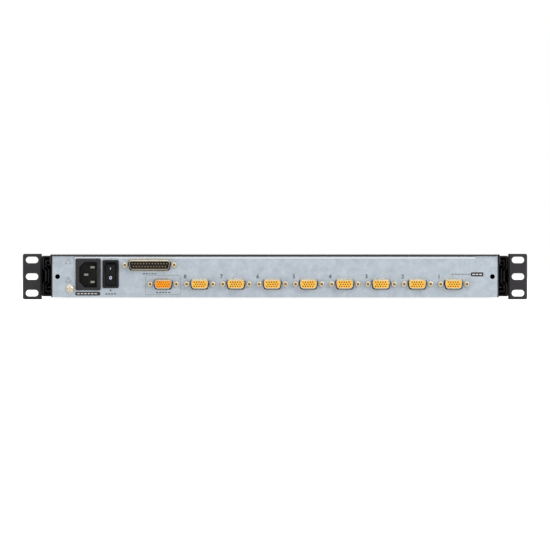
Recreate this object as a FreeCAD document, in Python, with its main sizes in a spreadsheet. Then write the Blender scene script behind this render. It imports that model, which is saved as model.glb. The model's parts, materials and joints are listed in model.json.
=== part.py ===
"""Rack-mounted KVM console drawer: an eight-port switch chassis on telescopic slides.

A keyboard, a touchpad and a folding LCD ride in its front.

Millimetres. X runs to the right as the user at the front sees it, Y runs back into the rack, Z is up.
The origin is the centre of the front ears' slot pattern, on the plane where the ears meet the rack posts.
"""
import FreeCAD, Part
import math
import os
import Sketcher

Vector = FreeCAD.Vector
Rotation = FreeCAD.Rotation

doc = FreeCAD.newDocument("kvm_console")

# Driving dimensions: alias, value, meaning.
SIZES = [
    ("ear_reach", 16.3, "ear, out from the arm"),
    ("ear_height", 43.6, "one rack unit, less clearance"),
    ("slot_reach", 7.55, "slot centre, out from the arm"),
    ("slot_pitch", 15.875, "between slots, up an ear"),
    ("slot_long", 12.0, "ear slot, end to end"),
    ("slot_wide", 6.2, "ear slot"),
    ("ear_corner", 1.8, "ear's rounded corners"),
    ("bracket_sheet", 1.8, "bracket thickness"),
    ("bend_cut", 1.2, "bracket's fold, outside corner"),
    ("arm_gap", 0.3, "between a rear arm and its slide, and under the rear screw heads"),
    ("front_arm", 60.0, "front bracket's arm"),
    ("rear_arm", 260.0, "rear bracket's arm"),
    ("rear_ear_back", 12.0, "rear ears stop short of the tray's rear edge"),
    ("arm_height", 38.0, "bracket arm"),
    ("adjust_slot", 200.0, "long slot in the rear arm"),
    ("adjust_wide", 4.6, "long slot in the rear arm"),
    ("case_half", 213.6, "half width of the tray, outside"),
    ("case_bottom", -19.9, "underside of the tray"),
    ("case_height", 41.4, "underside of the tray to the top of the cover"),
    ("case_front", -4.0, "front edge of the tray"),
    ("case_rear", 664.0, "rear edge of the tray floor"),
    ("tray_sheet", 1.2, "tray thickness"),
    ("cover_sheet", 1.2, "top cover thickness"),
    ("cover_front", 334.0, "front edge of the top cover"),
    ("cover_skirt", 9.2, "top cover's side flange"),
    ("cover_lip", 2.0, "fold over the rear panel's top edge"),
    ("cover_gap", 0.1, "between nested sheets"),
    ("panel_sheet", 1.2, "rear panel thickness"),
    ("panel_raise", 0.3, "middle of the rear panel stands proud of its end tabs"),
    ("tab_wide", 22.1, "end tab, from the tray's side"),
    ("tab_hole_edge", 6.1, "cable bar holes from the tray's side"),
    ("tab_hole_radius", 2.35, "cable bar holes"),
    ("port_low_z", -7.3, "centre of the port row"),
    ("port_first_x", -170.35, "port 1"),
    ("port_pitch", 34.6, "between ports"),
    ("console_x", 106.7, "external console port"),
    ("chain_x", 119.7, "daisy chain port"),
    ("chain_z", 10.9, "daisy chain port"),
    ("shell_out", 5.8, "D shells stand out of the panel"),
    ("shell_wall", 0.5, "D shell thickness"),
    ("flare_out", 0.7, "flared foot of a D shell stands out of the panel"),
    ("dee_slope", 0.1763, "slant of a D shell's ends"),
    ("small_dee_long", 17.5, "HD15 shell, outside"),
    ("small_dee_tall", 8.4, "HD15 shell, outside"),
    ("small_flare_long", 19.6, "HD15 flared foot"),
    ("small_flare_tall", 10.6, "HD15 flared foot"),
    ("small_screw_span", 24.99, "between HD15 jack screws"),
    ("small_flange_long", 30.8, "HD15 flange behind the panel"),
    ("large_dee_long", 39.8, "DB25 shell, outside"),
    ("large_dee_tall", 8.6, "DB25 shell, outside"),
    ("large_flare_long", 42.2, "DB25 flared foot"),
    ("large_flare_tall", 10.8, "DB25 flared foot"),
    ("large_screw_span", 47.04, "between DB25 jack screws"),
    ("large_flange_long", 53.0, "DB25 flange behind the panel"),
    ("flange_tall", 12.5, "connector flange"),
    ("flange_sheet", 0.8, "connector flange"),
    ("cut_gap", 0.2, "panel cut-out round a connector"),
    ("block_deep", 11.0, "connector body behind its flange"),
    ("hex_flats", 4.75, "jack screw across flats"),
    ("hex_out", 4.8, "jack screw stands out of the panel"),
    ("jack_thread", 1.3, "jack screw's threaded hole, radius"),
    ("jack_stud", 1.4, "jack screw's stud, radius"),
    ("stud_gap", 0.1, "clearance round a stud"),
    ("inlet_edge", 35.3, "power inlet's centre from the tray's side"),
    ("inlet_z", 1.85, "power inlet"),
    ("inlet_wide", 24.0, "power inlet flange"),
    ("inlet_tall", 30.0, "power inlet flange"),
    ("inlet_out", 2.4, "power inlet flange stands out"),
    ("inlet_body_wide", 21.0, "power inlet behind the panel"),
    ("inlet_body_tall", 27.0, "power inlet behind the panel"),
    ("inlet_body_deep", 20.0, "power inlet behind the panel"),
    ("socket_wide", 16.6, "power inlet cavity"),
    ("socket_tall", 24.2, "power inlet cavity"),
    ("socket_deep", 16.0, "power inlet cavity"),
    ("socket_corner", 5.0, "power inlet cavity's cut corners"),
    ("blade_span", 14.0, "line to neutral blade"),
    ("blade_long", 4.0, "blade section"),
    ("blade_thick", 2.0, "blade section"),
    ("blade_live_x", -4.3, "live blades from the inlet's centre"),
    ("blade_earth_x", 1.8, "earth blade from the inlet's centre"),
    ("blade_short", 1.5, "blade tips stop short of the mouth"),
    ("blade_tail", 6.0, "solder tails behind the inlet"),
    ("switch_edge", 56.8, "power switch's centre from the tray's side"),
    ("switch_z", 2.4, "power switch"),
    ("switch_wide", 15.6, "power switch flange"),
    ("switch_tall", 26.8, "power switch flange"),
    ("switch_out", 1.8, "power switch flange stands out"),
    ("switch_window_wide", 9.8, "power switch opening"),
    ("switch_window_tall", 21.6, "power switch opening"),
    ("switch_body_wide", 13.4, "power switch behind the panel"),
    ("switch_body_tall", 23.4, "power switch behind the panel"),
    ("switch_body_deep", 16.0, "power switch behind the panel"),
    ("rocker_wide", 9.4, "rocker"),
    ("rocker_half", 9.7, "rocker, pivot to end"),
    ("rocker_end_y", 5.4, "rocker, end of its face above the pivot"),
    ("rocker_mid_y", 3.8, "rocker, middle of its face above the pivot"),
    ("rocker_back", 3.0, "rocker, below the pivot"),
    ("rocker_tilt", 8.0, "rocker rests this far off centre, degrees"),
    ("pivot_radius", 1.5, "rocker pins"),
    ("pivot_gap", 0.05, "rocker pins in their holes"),
    ("ground_edge", 17.8, "ground screw from the tray's side"),
    ("ground_z", -11.6, "ground screw"),
    ("ground_head", 3.9, "ground screw, head radius"),
    ("slide_mid_z", 0.5, "slide centre height"),
    ("slide_zone", 9.6, "tray's side to the outer face of the slides"),
    ("slide_front", 4.0, "front end of the slides"),
    ("slide_rear_back", 24.0, "slides stop short of the tray's rear edge"),
    ("outer_half", 19.5, "outer member, half height"),
    ("outer_sheet", 1.4, "outer member"),
    ("outer_deep", 7.0, "outer member, flange"),
    ("outer_boss", 2.4, "outer member's web steps in by this"),
    ("middle_half", 15.3, "middle member, half height"),
    ("middle_sheet", 1.2, "middle and inner members"),
    ("middle_web_in", 2.2, "middle member's web, in from the outer face of the slides"),
    ("middle_deep", 5.1, "middle member, flange"),
    ("middle_boss", 2.6, "middle member's web steps in by this"),
    ("inner_half", 11.3, "inner member, half height"),
    ("inner_deep", 5.0, "inner member, flange"),
    ("cage_gap", 0.35, "ball cage to the races"),
    ("cage_front", 60.0, "ball cage"),
    ("cage_long", 380.0, "ball cage"),
    ("lid_side_gap", 1.0, "LCD lid to the tray's sides"),
    ("lid_front", -34.0, "LCD lid's front edge"),
    ("lid_rear", 326.0, "LCD lid's hinge edge"),
    ("lid_bottom", 4.6, "LCD lid's screen side"),
    ("lid_drop", 0.2, "LCD lid's back lies below the cover's top"),
    ("lid_sheet", 1.4, "LCD lid walls"),
    ("lid_bezel", 1.6, "screen bezel thickness"),
    ("screen_wide", 338.0, "visible screen"),
    ("screen_tall", 270.0, "visible screen"),
    ("screen_mid_y", 141.0, "visible screen, centre"),
    ("module_wide", 358.5, "LCD module"),
    ("module_tall", 296.5, "LCD module"),
    ("module_thick", 9.0, "LCD module"),
    ("hinge_y", 320.0, "hinge axis"),
    ("hinge_z", 13.1, "hinge axis"),
    ("hinge_x", 165.0, "hinge centre from the middle"),
    ("hinge_notch", 44.0, "notch in the lid"),
    ("hinge_notch_deep", 18.0, "notch in the lid"),
    ("hinge_pin", 2.5, "hinge pin radius"),
    ("hinge_barrel", 4.6, "hinge barrel radius"),
    ("hinge_arm", 12.0, "hinge bracket width"),
    ("hinge_gap", 0.05, "hinge pin in its hole"),
    ("leaf_wide", 10.0, "hinge leaf on the lid"),
    ("deck_top", -3.2, "keyboard deck"),
    ("deck_sheet", 1.6, "keyboard deck"),
    ("deck_rear", 300.0, "keyboard deck's rear edge"),
    ("key_pitch", 17.8, "between keys"),
    ("key_gap", 0.8, "between key skirts"),
    ("key_taper", 2.2, "key's top is inset by this"),
    ("key_front", 86.0, "front edge of the space bar row"),
    ("key_bottom", -5.0, "key skirts"),
    ("key_top", 3.0, "key tops"),
    ("key_block_gap", 6.2, "between the key blocks"),
    ("key_row_gap", 4.0, "behind the number row"),
    ("function_deep", 14.0, "function row"),
    ("well_gap", 0.6, "deck opening round the keys"),
    ("base_top", -7.4, "keyboard base"),
    ("base_sheet", 1.6, "keyboard base"),
    ("dome_radius", 3.5, "rubber dome, foot"),
    ("pad_wide", 72.0, "touchpad"),
    ("pad_deep", 42.0, "touchpad"),
    ("pad_front", 34.0, "touchpad's front edge"),
    ("pad_sink", 0.6, "touchpad lies below the deck"),
    ("pad_button_deep", 12.0, "touchpad buttons"),
    ("pad_button_gap", 0.3, "round a touchpad button"),
    ("bezel_side", 7.4, "front handle, past the tray's side"),
    ("bezel_front", -36.0, "front handle"),
    ("bezel_top", 4.0, "front handle"),
    ("grip_wide", 120.0, "finger grip"),
    ("grip_front", -31.0, "finger grip"),
    ("grip_rear", -14.0, "finger grip"),
    ("grip_top", -8.0, "finger grip"),
    ("release_x", 198.0, "slide release buttons"),
    ("release_wide", 20.0, "slide release buttons"),
    ("release_tall", 9.0, "slide release buttons"),
    ("release_deep", 10.0, "slide release buttons"),
    ("release_out", 2.6, "slide release buttons stand out"),
    ("release_mid_z", -6.5, "slide release buttons"),
    ("release_gap", 0.3, "round a release button"),
    ("usb_x", 150.0, "front USB port"),
    ("usb_wide", 13.1, "front USB port shell"),
    ("usb_tall", 5.7, "front USB port shell"),
    ("usb_deep", 14.0, "front USB port shell"),
    ("board_sheet", 1.6, "circuit boards"),
    ("board_side", 7.4, "switch board to the tray's side"),
    ("board_right", 126.0, "switch board"),
    ("board_deep", 141.0, "switch board"),
    ("board_back", 3.0, "switch board stops short of the tray's rear edge"),
    ("supply_left", 132.0, "power board"),
    ("supply_deep", 166.0, "power board"),
    ("supply_back", 28.0, "power board stops short of the tray's rear edge"),
    ("post_radius", 3.0, "board posts"),
]

sheet = doc.addObject("Spreadsheet::Sheet", "Sizes")
for row, (alias, value, meaning) in enumerate(SIZES, 1):
    sheet.set(f"A{row}", alias)
    sheet.set(f"B{row}", str(value))
    sheet.set(f"C{row}", meaning)
    sheet.setAlias(f"B{row}", alias)
doc.recompute()


class Dim:
    """A size that knows both its spreadsheet expression and its present value."""

    def __init__(self, text, value):
        self.text, self.value = text, value

    def __add__(self, other):
        other = dim(other)
        return Dim(f"({self.text} + {other.text})", self.value + other.value)

    def __sub__(self, other):
        other = dim(other)
        return Dim(f"({self.text} - {other.text})", self.value - other.value)

    def __mul__(self, other):
        other = dim(other)
        return Dim(f"({self.text} * {other.text})", self.value * other.value)

    def __truediv__(self, other):
        other = dim(other)
        return Dim(f"({self.text} / {other.text})", self.value / other.value)

    def __neg__(self):
        return Dim(f"(0 - {self.text})", -self.value)

    def __radd__(self, other):
        return dim(other) + self

    def __rsub__(self, other):
        return dim(other) - self

    def __rmul__(self, other):
        return dim(other) * self


def dim(x):
    """A plain number as a Dim; a Dim as it is."""
    return x if isinstance(x, Dim) else Dim(f"({float(x)!r})", float(x))


class Sizes:
    """S.alias is the Dim of that spreadsheet cell."""

    def __getattr__(self, alias):
        return Dim(f"Sizes.{alias}", float(getattr(sheet, alias)))


S = Sizes()

# Planes and edges that several pieces share.
case_top = S.case_bottom + S.case_height
cover_under = case_top - S.cover_sheet
wall_top = cover_under - S.cover_gap
tray_inner = S.case_half - S.tray_sheet
floor_top = S.case_bottom + S.tray_sheet
tab_face = S.case_rear + S.cover_gap + S.panel_sheet
panel_face = tab_face + S.panel_raise
panel_back = S.case_rear + S.cover_gap
slide_face = S.case_half + S.slide_zone
slide_rear = S.case_rear - S.slide_rear_back
rail_length = slide_rear - S.slide_front
middle_web = slide_face - S.middle_web_in
arm_outer = slide_face + S.bracket_sheet
ear_outer = arm_outer + S.ear_reach
slot_x = arm_outer + S.slot_reach
rear_ear_y = S.case_rear - S.rear_ear_back
tab_inner = S.case_half - S.tab_wide
tab_hole_x = S.case_half - S.tab_hole_edge
inlet_x = S.case_half - S.inlet_edge
switch_x = S.case_half - S.switch_edge
ground_x = S.case_half - S.ground_edge
lid_half = tray_inner - S.lid_side_gap
lid_top = case_top - S.lid_drop
bezel_half = S.case_half + S.bezel_side
board_left = S.board_side - tray_inner
board_rear = S.case_rear - S.board_back
board_front = board_rear - S.board_deep
supply_rear = S.case_rear - S.supply_back
supply_front = supply_rear - S.supply_deep
deck_under = S.deck_top - S.deck_sheet
board_top = S.port_low_z - S.flange_tall / 2
board_under = board_top - S.board_sheet

nodes = []


def bind(obj, **sizes):
    """Binds an object's properties to spreadsheet expressions; x, y and z place it."""
    for name, value in sizes.items():
        path = f"Placement.Base.{name}" if name in "xyz" else name
        obj.setExpression(path, dim(value).text)
    return obj


def box(name, x, y, z, length, width, height):
    """A Part box from its low corner, with sizes along X, Y and Z."""
    obj = doc.addObject("Part::Box", name)
    return bind(obj, Length=length, Width=width, Height=height, x=x, y=y, z=z)


def plate(name, half, y0, y1, z0, z1):
    """A box that is symmetric about X = 0."""
    return box(name, -half, y0, z0, half * 2, y1 - y0, z1 - z0)


TURNS = {"X": Rotation(Vector(0, 1, 0), 90), "Y": Rotation(Vector(1, 0, 0), -90), "Z": Rotation()}


def rod(name, x, y, z, radius, length, along="Z"):
    """A Part cylinder whose foot is at the point given."""
    obj = doc.addObject("Part::Cylinder", name)
    obj.Placement.Rotation = TURNS[along]
    return bind(obj, Radius=radius, Height=length, x=x, y=y, z=z)


def group(name, pieces):
    """Several solids kept apart in one object."""
    obj = doc.addObject("Part::Compound", name)
    obj.Links = pieces
    return obj


def fuse(name, pieces):
    obj = doc.addObject("Part::MultiFuse", name)
    obj.Shapes = pieces
    return obj


def cut(name, base, tools):
    """base without tools, which may not overlap each other."""
    obj = doc.addObject("Part::Cut", name)
    obj.Base = base
    obj.Tool = tools[0] if len(tools) == 1 else group(name + "_tools", tools)
    return obj


def common(name, first, second):
    """What two shapes share."""
    obj = doc.addObject("Part::Common", name)
    obj.Base = first
    obj.Tool = second
    return obj


def mirrored(name, source):
    """The same piece for the other side of the object."""
    obj = doc.addObject("Part::Mirroring", name)
    obj.Source = source
    obj.Normal = Vector(1, 0, 0)
    return obj


def outline(name, plane, points, length, x=0, y=0, z=0, corner=None):
    """A PartDesign body: a closed sketch on XY, XZ or YZ, padded towards +Z, +Y or +X.

    Each corner of the sketch is held by its two distances from the body's origin.
    corner rounds the edges that run along the pad.
    """
    body = doc.addObject("PartDesign::Body", name)
    origin_plane = next(f for f in body.Origin.OriginFeatures if f.Role == plane + "_Plane")
    sketch = body.newObject("Sketcher::SketchObject", name + "_sketch")
    sketch.AttachmentSupport = (origin_plane, [""])
    sketch.MapMode = "FlatFace"
    points = [(dim(u), dim(v)) for u, v in points]
    corners = [Vector(u.value, v.value, 0) for u, v in points]
    count = len(points)
    sketch.addGeometry([Part.LineSegment(corners[i], corners[(i + 1) % count]) for i in range(count)], False)
    for i in range(count):
        sketch.addConstraint(Sketcher.Constraint("Coincident", i, 2, (i + 1) % count, 1))
    for i, (u, v) in enumerate(points):
        for kind, size in (("DistanceX", u), ("DistanceY", v)):
            number = sketch.addConstraint(Sketcher.Constraint(kind, -1, 1, i, 1, size.value))
            sketch.setExpression(f"Constraints[{number}]", size.text)
    pad = body.newObject("PartDesign::Pad", name + "_pad")
    pad.Profile = sketch
    pad.Reversed = plane == "XZ"
    bind(pad, Length=length)
    if corner is not None:
        doc.recompute([sketch, pad])
        axis = {"XY": 2, "XZ": 1, "YZ": 0}[plane]
        along = []
        for number, edge in enumerate(pad.Shape.Edges, 1):
            start, end = edge.Vertexes[0].Point, edge.Vertexes[-1].Point
            if abs((end - start)[axis]) > pad.Length.Value / 2:
                along.append(f"Edge{number}")
        fillet = body.newObject("PartDesign::Fillet", name + "_round")
        fillet.Base = (pad, along)
        bind(fillet, Radius=corner)
    return bind(body, x=x, y=y, z=z)


def keep(node, obj):
    """Marks an object as a sub-part; its label names its file."""
    obj.Label = node
    nodes.append(obj)
    return obj


# ---------------------------------------------------------------- slides

def c_profile(web, half, sheet_size, deep, boss, boss_low, boss_high):
    """A C-section that opens towards the chassis, with the middle of its web stepped in by boss."""
    inner_web, tip = web - sheet_size, web - deep
    slant = sheet_size * 0.35
    return [
        (tip, half), (web, half), (web, boss_high + slant), (web - boss, boss_low + slant),
        (web - boss, -(boss_low + slant)), (web, -(boss_high + slant)), (web, -half), (tip, -half),
        (tip, -(half - sheet_size)), (inner_web, -(half - sheet_size)), (inner_web, -boss_high),
        (inner_web - boss, -boss_low), (inner_web - boss, boss_low), (inner_web, boss_high),
        (inner_web, half - sheet_size), (tip, half - sheet_size),
    ]


def make_slides():
    outer = outline(
        "outer_rail", "XZ",
        c_profile(slide_face, S.outer_half, S.outer_sheet, S.outer_deep, S.outer_boss, dim(4.6), dim(7.0)),
        rail_length, y=S.slide_front, z=S.slide_mid_z)
    tapped = [
        rod(f"outer_rail_hole_{n}", slide_face - S.outer_sheet * 2 - S.outer_boss, y, S.slide_mid_z + z,
            1.7, S.outer_boss + S.outer_sheet * 3, "X")
        for n, (y, z) in enumerate(screw_places())
    ]
    right = cut("outer_rail_right", outer, tapped)
    middle = outline(
        "middle_rail_right", "XZ",
        c_profile(middle_web, S.middle_half, S.middle_sheet, S.middle_deep, S.middle_boss, dim(6.2),
                  dim(8.6)),
        rail_length - 6, y=S.slide_front, z=S.slide_mid_z)
    tip, web, half = S.case_half + S.inner_deep, S.case_half, S.inner_half
    inner_points = [
        (tip, half), (web, half), (web, -half), (tip, -half),
        (tip, -(half - S.middle_sheet)), (web + S.middle_sheet, -(half - S.middle_sheet)),
        (web + S.middle_sheet, half - S.middle_sheet), (tip, half - S.middle_sheet),
    ]
    inner = outline("inner_rail_right", "XZ", inner_points, rail_length - 6, y=S.slide_front, z=S.slide_mid_z)
    cages = []
    outer_race = S.outer_half - S.outer_sheet
    inner_race = S.middle_half - S.middle_sheet
    for side in (1, -1):
        for up in (1, -1):
            for kind, low, high, x in (
                ("outer", S.middle_half + S.cage_gap, outer_race - S.cage_gap,
                 middle_web - S.middle_deep + 0.6),
                ("inner", S.inner_half + S.cage_gap, inner_race - S.cage_gap, S.case_half + 2.6),
            ):
                start = x if side > 0 else -(x + 2.4)
                base = S.slide_mid_z + (low if up > 0 else -high)
                cages.append(box(f"cage_{kind}_{side}_{up}", start, S.cage_front, base, 2.4, S.cage_long,
                                 high - low))
    keep("rail_outer_right", right)
    keep("rail_outer_left", mirrored("outer_rail_left", right))
    keep("rail_middle_right", middle)
    keep("rail_middle_left", mirrored("middle_rail_left", middle))
    keep("rail_inner_right", inner)
    keep("rail_inner_left", mirrored("inner_rail_left", inner))
    keep("ball_cages", group("cages", cages))


def screw_places():
    """Y and height above the slide's centre of each bracket screw: front pair, then rear pair."""
    return [(dim(18), dim(9.5)), (dim(48), dim(9.5)), (rear_ear_y - 120, dim(9.5)),
            (rear_ear_y - 60, dim(9.5))]


def ear_slots(name, y, length):
    """Three level slots through an ear, up its height."""
    cutters = []
    end = (S.slot_long - S.slot_wide) / 2
    for n in (-1, 0, 1):
        z = S.slot_pitch * n
        bar = box(f"{name}_bar_{n}", slot_x - end, y, z - S.slot_wide / 2, end * 2, length, S.slot_wide)
        ends = [rod(f"{name}_end_{n}_{k}", slot_x + end * k, y, z, S.slot_wide / 2, length, "Y")
                for k in (-1, 1)]
        cutters.append(fuse(f"{name}_slot_{n}", [bar] + ends))
    return cutters


def angle_bracket(name, y_face, y_far, arm_in):
    """The blank and the cutters of a right-hand L bracket.

    Its arm lies on the slide from y_face to y_far; its ear stands out across the rack post at y_face."""
    forward = y_far.value > y_face.value
    thick = S.bracket_sheet if forward else -S.bracket_sheet
    bend = S.bend_cut if forward else -S.bend_cut
    ear_out = y_face - thick
    half = S.ear_height / 2
    blank = outline(
        name + "_blank", "XY",
        [(arm_in, ear_out + bend), (arm_in + S.bend_cut, ear_out), (ear_outer, ear_out),
         (ear_outer, y_face), (arm_outer, y_face), (arm_outer, y_far), (arm_in, y_far)],
        S.ear_height, z=-half)
    low, high = (ear_out - 1, y_far + 1) if forward else (y_far - 1, ear_out + 1)
    rounded = outline(name + "_rounded", "XZ",
                      [(arm_in - 10, -half), (ear_outer, -half), (ear_outer, half), (arm_in - 10, half)],
                      high - low, y=low, corner=S.ear_corner)
    blank = common(name + "_trimmed", blank, rounded)
    low_y, high_y = (y_face + 6, y_far + 1) if forward else (y_far - 1, y_face - 6)
    arm_low = S.slide_mid_z - S.arm_height / 2
    arm_high = S.slide_mid_z + S.arm_height / 2
    notches = [
        box(f"{name}_notch_{n}", arm_in - 1, low_y, low, S.bracket_sheet + 2, high_y - low_y, high - low)
        for n, (low, high) in enumerate(((-half - 1, arm_low), (arm_high, half + 1)))
    ]
    slot_start = (ear_out if forward else y_face) - 1
    return blank, notches + ear_slots(name, slot_start, S.bracket_sheet + 2)


def make_brackets():
    blank, tools = angle_bracket("front_bracket", dim(0), S.front_arm, slide_face)
    for n, (y, z) in enumerate(screw_places()[:2]):
        tools.append(rod(f"front_bracket_hole_{n}", slide_face - 1, y, S.slide_mid_z + z, 2.1,
                         S.bracket_sheet + 2, "X"))
    front = cut("front_bracket_right", blank, tools)
    blank, tools = angle_bracket("rear_bracket", rear_ear_y, rear_ear_y - S.rear_arm,
                                 slide_face + S.arm_gap)
    slot_rear = rear_ear_y - 30
    slot_z = S.slide_mid_z + 9.5
    radius = S.adjust_wide / 2
    slot_bar = box("adjust_bar", slide_face - 1, slot_rear - S.adjust_slot + radius, slot_z - radius,
                   S.bracket_sheet + 2, S.adjust_slot - S.adjust_wide, S.adjust_wide)
    slot_ends = [rod(f"adjust_end_{n}", slide_face - 1, y, slot_z, radius, S.bracket_sheet + 2, "X")
                 for n, y in enumerate((slot_rear - S.adjust_slot + radius, slot_rear - radius))]
    tools.append(fuse("adjust_slot", [slot_bar] + slot_ends))
    rear = cut("rear_bracket_right", blank, tools)
    screws = []
    for side in (1, -1):
        for n, (y, z) in enumerate(screw_places()):
            head_x = arm_outer if n < 2 else arm_outer + S.arm_gap
            web_in = slide_face - S.outer_sheet
            shank = rod(f"bracket_shank_{side}_{n}", web_in, y, S.slide_mid_z + z, 1.7,
                        head_x - web_in + 0.5, "X")
            head = rod(f"bracket_head_{side}_{n}", head_x, y, S.slide_mid_z + z, 3.4, 1.6, "X")
            drive = box(f"bracket_drive_{side}_{n}", head_x + 0.9, y - 2.2, S.slide_mid_z + z - 0.4, 1.2, 4.4,
                        0.8)
            screw = cut(f"bracket_screw_{side}_{n}", fuse(f"bracket_blank_{side}_{n}", [shank, head]),
                        [drive])
            screws.append(screw if side > 0 else mirrored(f"bracket_screw_left_{n}", screw))
    keep("front_bracket_right", front)
    keep("front_bracket_left", mirrored("front_bracket_left_body", front))
    keep("rear_bracket_right", rear)
    keep("rear_bracket_left", mirrored("rear_bracket_left_body", rear))
    keep("bracket_screws", group("bracket_screw_set", screws))


# ---------------------------------------------------------------- chassis

def board_posts():
    """X, Y of each post under the switch board and the power board."""
    switch = [(x, y) for x in (board_left + 8, S.board_right - 8) for y in (board_front + 8, board_rear - 24)]
    supply = [(x, y) for x in (S.supply_left + 6, tray_inner - 12)
              for y in (supply_front + 6, supply_rear - 8)]
    return switch + supply


def cover_screw_places():
    rows = (S.cover_front + 20, dim(500), S.case_rear - 20)
    return [(x, y) for x in (-(tray_inner - 6), tray_inner - 6) for y in rows]


def make_tray():
    bottom = plate("tray_bottom", tray_inner, S.case_front, S.case_rear, S.case_bottom, floor_top)
    walls = [
        box(f"tray_wall_{n}", x, S.case_front, S.case_bottom, S.tray_sheet, panel_face - S.case_front,
            wall_top - S.case_bottom)
        for n, x in enumerate((-S.case_half, tray_inner))
    ]
    front = plate("tray_front", tray_inner, S.case_front, S.case_front + S.tray_sheet, floor_top, deck_under)
    posts = [
        rod(f"tray_post_{n}", x, y, floor_top, S.post_radius, board_under - floor_top)
        for n, (x, y) in enumerate(board_posts())
    ]
    tabs = []
    for n, (x, y) in enumerate(cover_screw_places()):
        tab = box(f"tray_tab_{n}", x - 6, y - 5, wall_top - 5, 12, 10, 5)
        tabs.append(cut(f"tray_tab_{n}_tapped", tab, [rod(f"tray_tab_hole_{n}", x, y, wall_top - 6, 1.3, 7)]))
    keep("chassis_tray", fuse("tray", [bottom, front] + walls + posts + tabs))


def make_cover():
    half = S.case_half + S.cover_gap + S.cover_sheet
    rear = panel_face + S.cover_gap + S.cover_sheet
    inner = half - S.cover_sheet
    bevel = S.cover_sheet * 1.4
    low = case_top - S.cover_skirt
    profile = [
        (-half, low), (-inner, low), (-inner, cover_under), (inner, cover_under), (inner, low), (half, low),
        (half, case_top - bevel), (half - bevel, case_top), (-(half - bevel), case_top),
        (-half, case_top - bevel),
    ]
    wrap = outline("cover_wrap", "XZ", profile, rear - S.cover_front, y=S.cover_front)
    front = plate("cover_front_flange", tray_inner - 0.2, S.cover_front, S.cover_front + S.cover_sheet,
                  dim(3),
                  cover_under)
    lip = plate("cover_lip_fold", inner - 2, rear - S.cover_sheet, rear, case_top - S.cover_lip, cover_under)
    holes = [
        rod(f"cover_hole_{n}", x, y, cover_under - 1, 2.8, S.cover_sheet + 2)
        for n, (x, y) in enumerate(cover_screw_places())
    ]
    keep("rear_top_cover", cut("cover", fuse("cover_blank", [wrap, front, lip]), holes))
    screws = []
    for n, (x, y) in enumerate(cover_screw_places()):
        head = rod(f"cover_head_{n}", x, y, wall_top, 2.7, case_top - wall_top)
        shank = rod(f"cover_shank_{n}", x, y, wall_top - 6, 1.3, 7)
        drive = box(f"cover_drive_{n}", x - 1.7, y - 0.35, case_top - 0.8, 3.4, 0.7, 1)
        screws.append(cut(f"cover_screw_{n}", fuse(f"cover_screw_blank_{n}", [head, shank]), [drive]))
    keep("cover_screws", group("cover_screw_set", screws))


# ---------------------------------------------------------------- connectors

def dee(name, x, z, y, length, long, tall, corner):
    """A D-shaped prism along Y, wide side up, from its centre."""
    wide = long / 2
    narrow = wide - tall * S.dee_slope
    points = [(-narrow, -tall / 2), (narrow, -tall / 2), (wide, tall / 2), (-wide, tall / 2)]
    return outline(name, "XZ", points, length, x=x, y=y, z=z, corner=corner)


HD15_ROWS = [(5, 2.29, 0.6, 1.98), (5, 2.29, -0.6, 0.0), (5, 2.29, 0.6, -1.98)]
HD18_ROWS = [(6, 1.98, 0.5, 1.98), (6, 1.98, -0.5, 0.0), (6, 1.98, 0.5, -1.98)]
DB25_ROWS = [(13, 2.76, 0.0, 1.42), (12, 2.76, 0.0, -1.42)]


def pin_field(name, x, z, y, radius, length, rows):
    """A compound of rods along Y; each row gives its count, pitch, shift along X and height."""
    pins = []
    for count, pitch, shift, height in rows:
        for n in range(count):
            foot = Vector(x.value + shift + (n - (count - 1) / 2) * pitch, y.value, z.value + height)
            pins.append(Part.makeCylinder(radius, length, foot, Vector(0, 1, 0)))
    obj = doc.addObject("Part::Feature", name)
    obj.Shape = Part.makeCompound(pins)
    return obj


def jack_places():
    """X, Z of every jack screw: the ports, the console port and the chain port."""
    small = S.small_screw_span / 2
    places = []
    for n in range(PORTS):
        x = S.port_first_x + S.port_pitch * n
        places += [(x - small, S.port_low_z), (x + small, S.port_low_z)]
    places += [(S.console_x - small, S.port_low_z), (S.console_x + small, S.port_low_z)]
    large = S.large_screw_span / 2
    return places + [(S.chain_x - large, S.chain_z), (S.chain_x + large, S.chain_z)]


PORTS = 8
SMALL = ("small_dee_long", "small_dee_tall", "small_flare_long", "small_flare_tall", "small_screw_span",
         "small_flange_long")
LARGE = ("large_dee_long", "large_dee_tall", "large_flare_long", "large_flare_tall", "large_screw_span",
         "large_flange_long")


def connector_shell(name, x, z, kind):
    """The plated shell: a flange behind the panel, a flared foot through it, and the D that stands out."""
    long, tall, flare_long, flare_tall, screw_span, flange_long = (getattr(S, alias) for alias in kind)
    flange_back = panel_back - S.flange_sheet
    flange = box(name + "_flange", x - flange_long / 2, flange_back, z - S.flange_tall / 2,
                 flange_long, S.flange_sheet, S.flange_tall)
    flare = dee(name + "_flare", x, z, panel_back, panel_face + S.flare_out - panel_back,
                flare_long, flare_tall, dim(3.0))
    tube = dee(name + "_tube", x, z, panel_back, panel_face + S.shell_out - panel_back, long, tall, dim(2.6))
    bore = dee(name + "_bore", x, z, flange_back - 1, panel_face + S.shell_out + 2 - flange_back,
               long - S.shell_wall * 2, tall - S.shell_wall * 2, dim(2.1))
    holes = [rod(f"{name}_hole_{side}", x + screw_span / 2 * side, flange_back - 1, z,
                 S.jack_stud + S.stud_gap,
                 S.flange_sheet + 2, "Y") for side in (-1, 1)]
    return cut(name, fuse(name + "_blank", [flange, flare, tube]), [bore] + holes)


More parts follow.
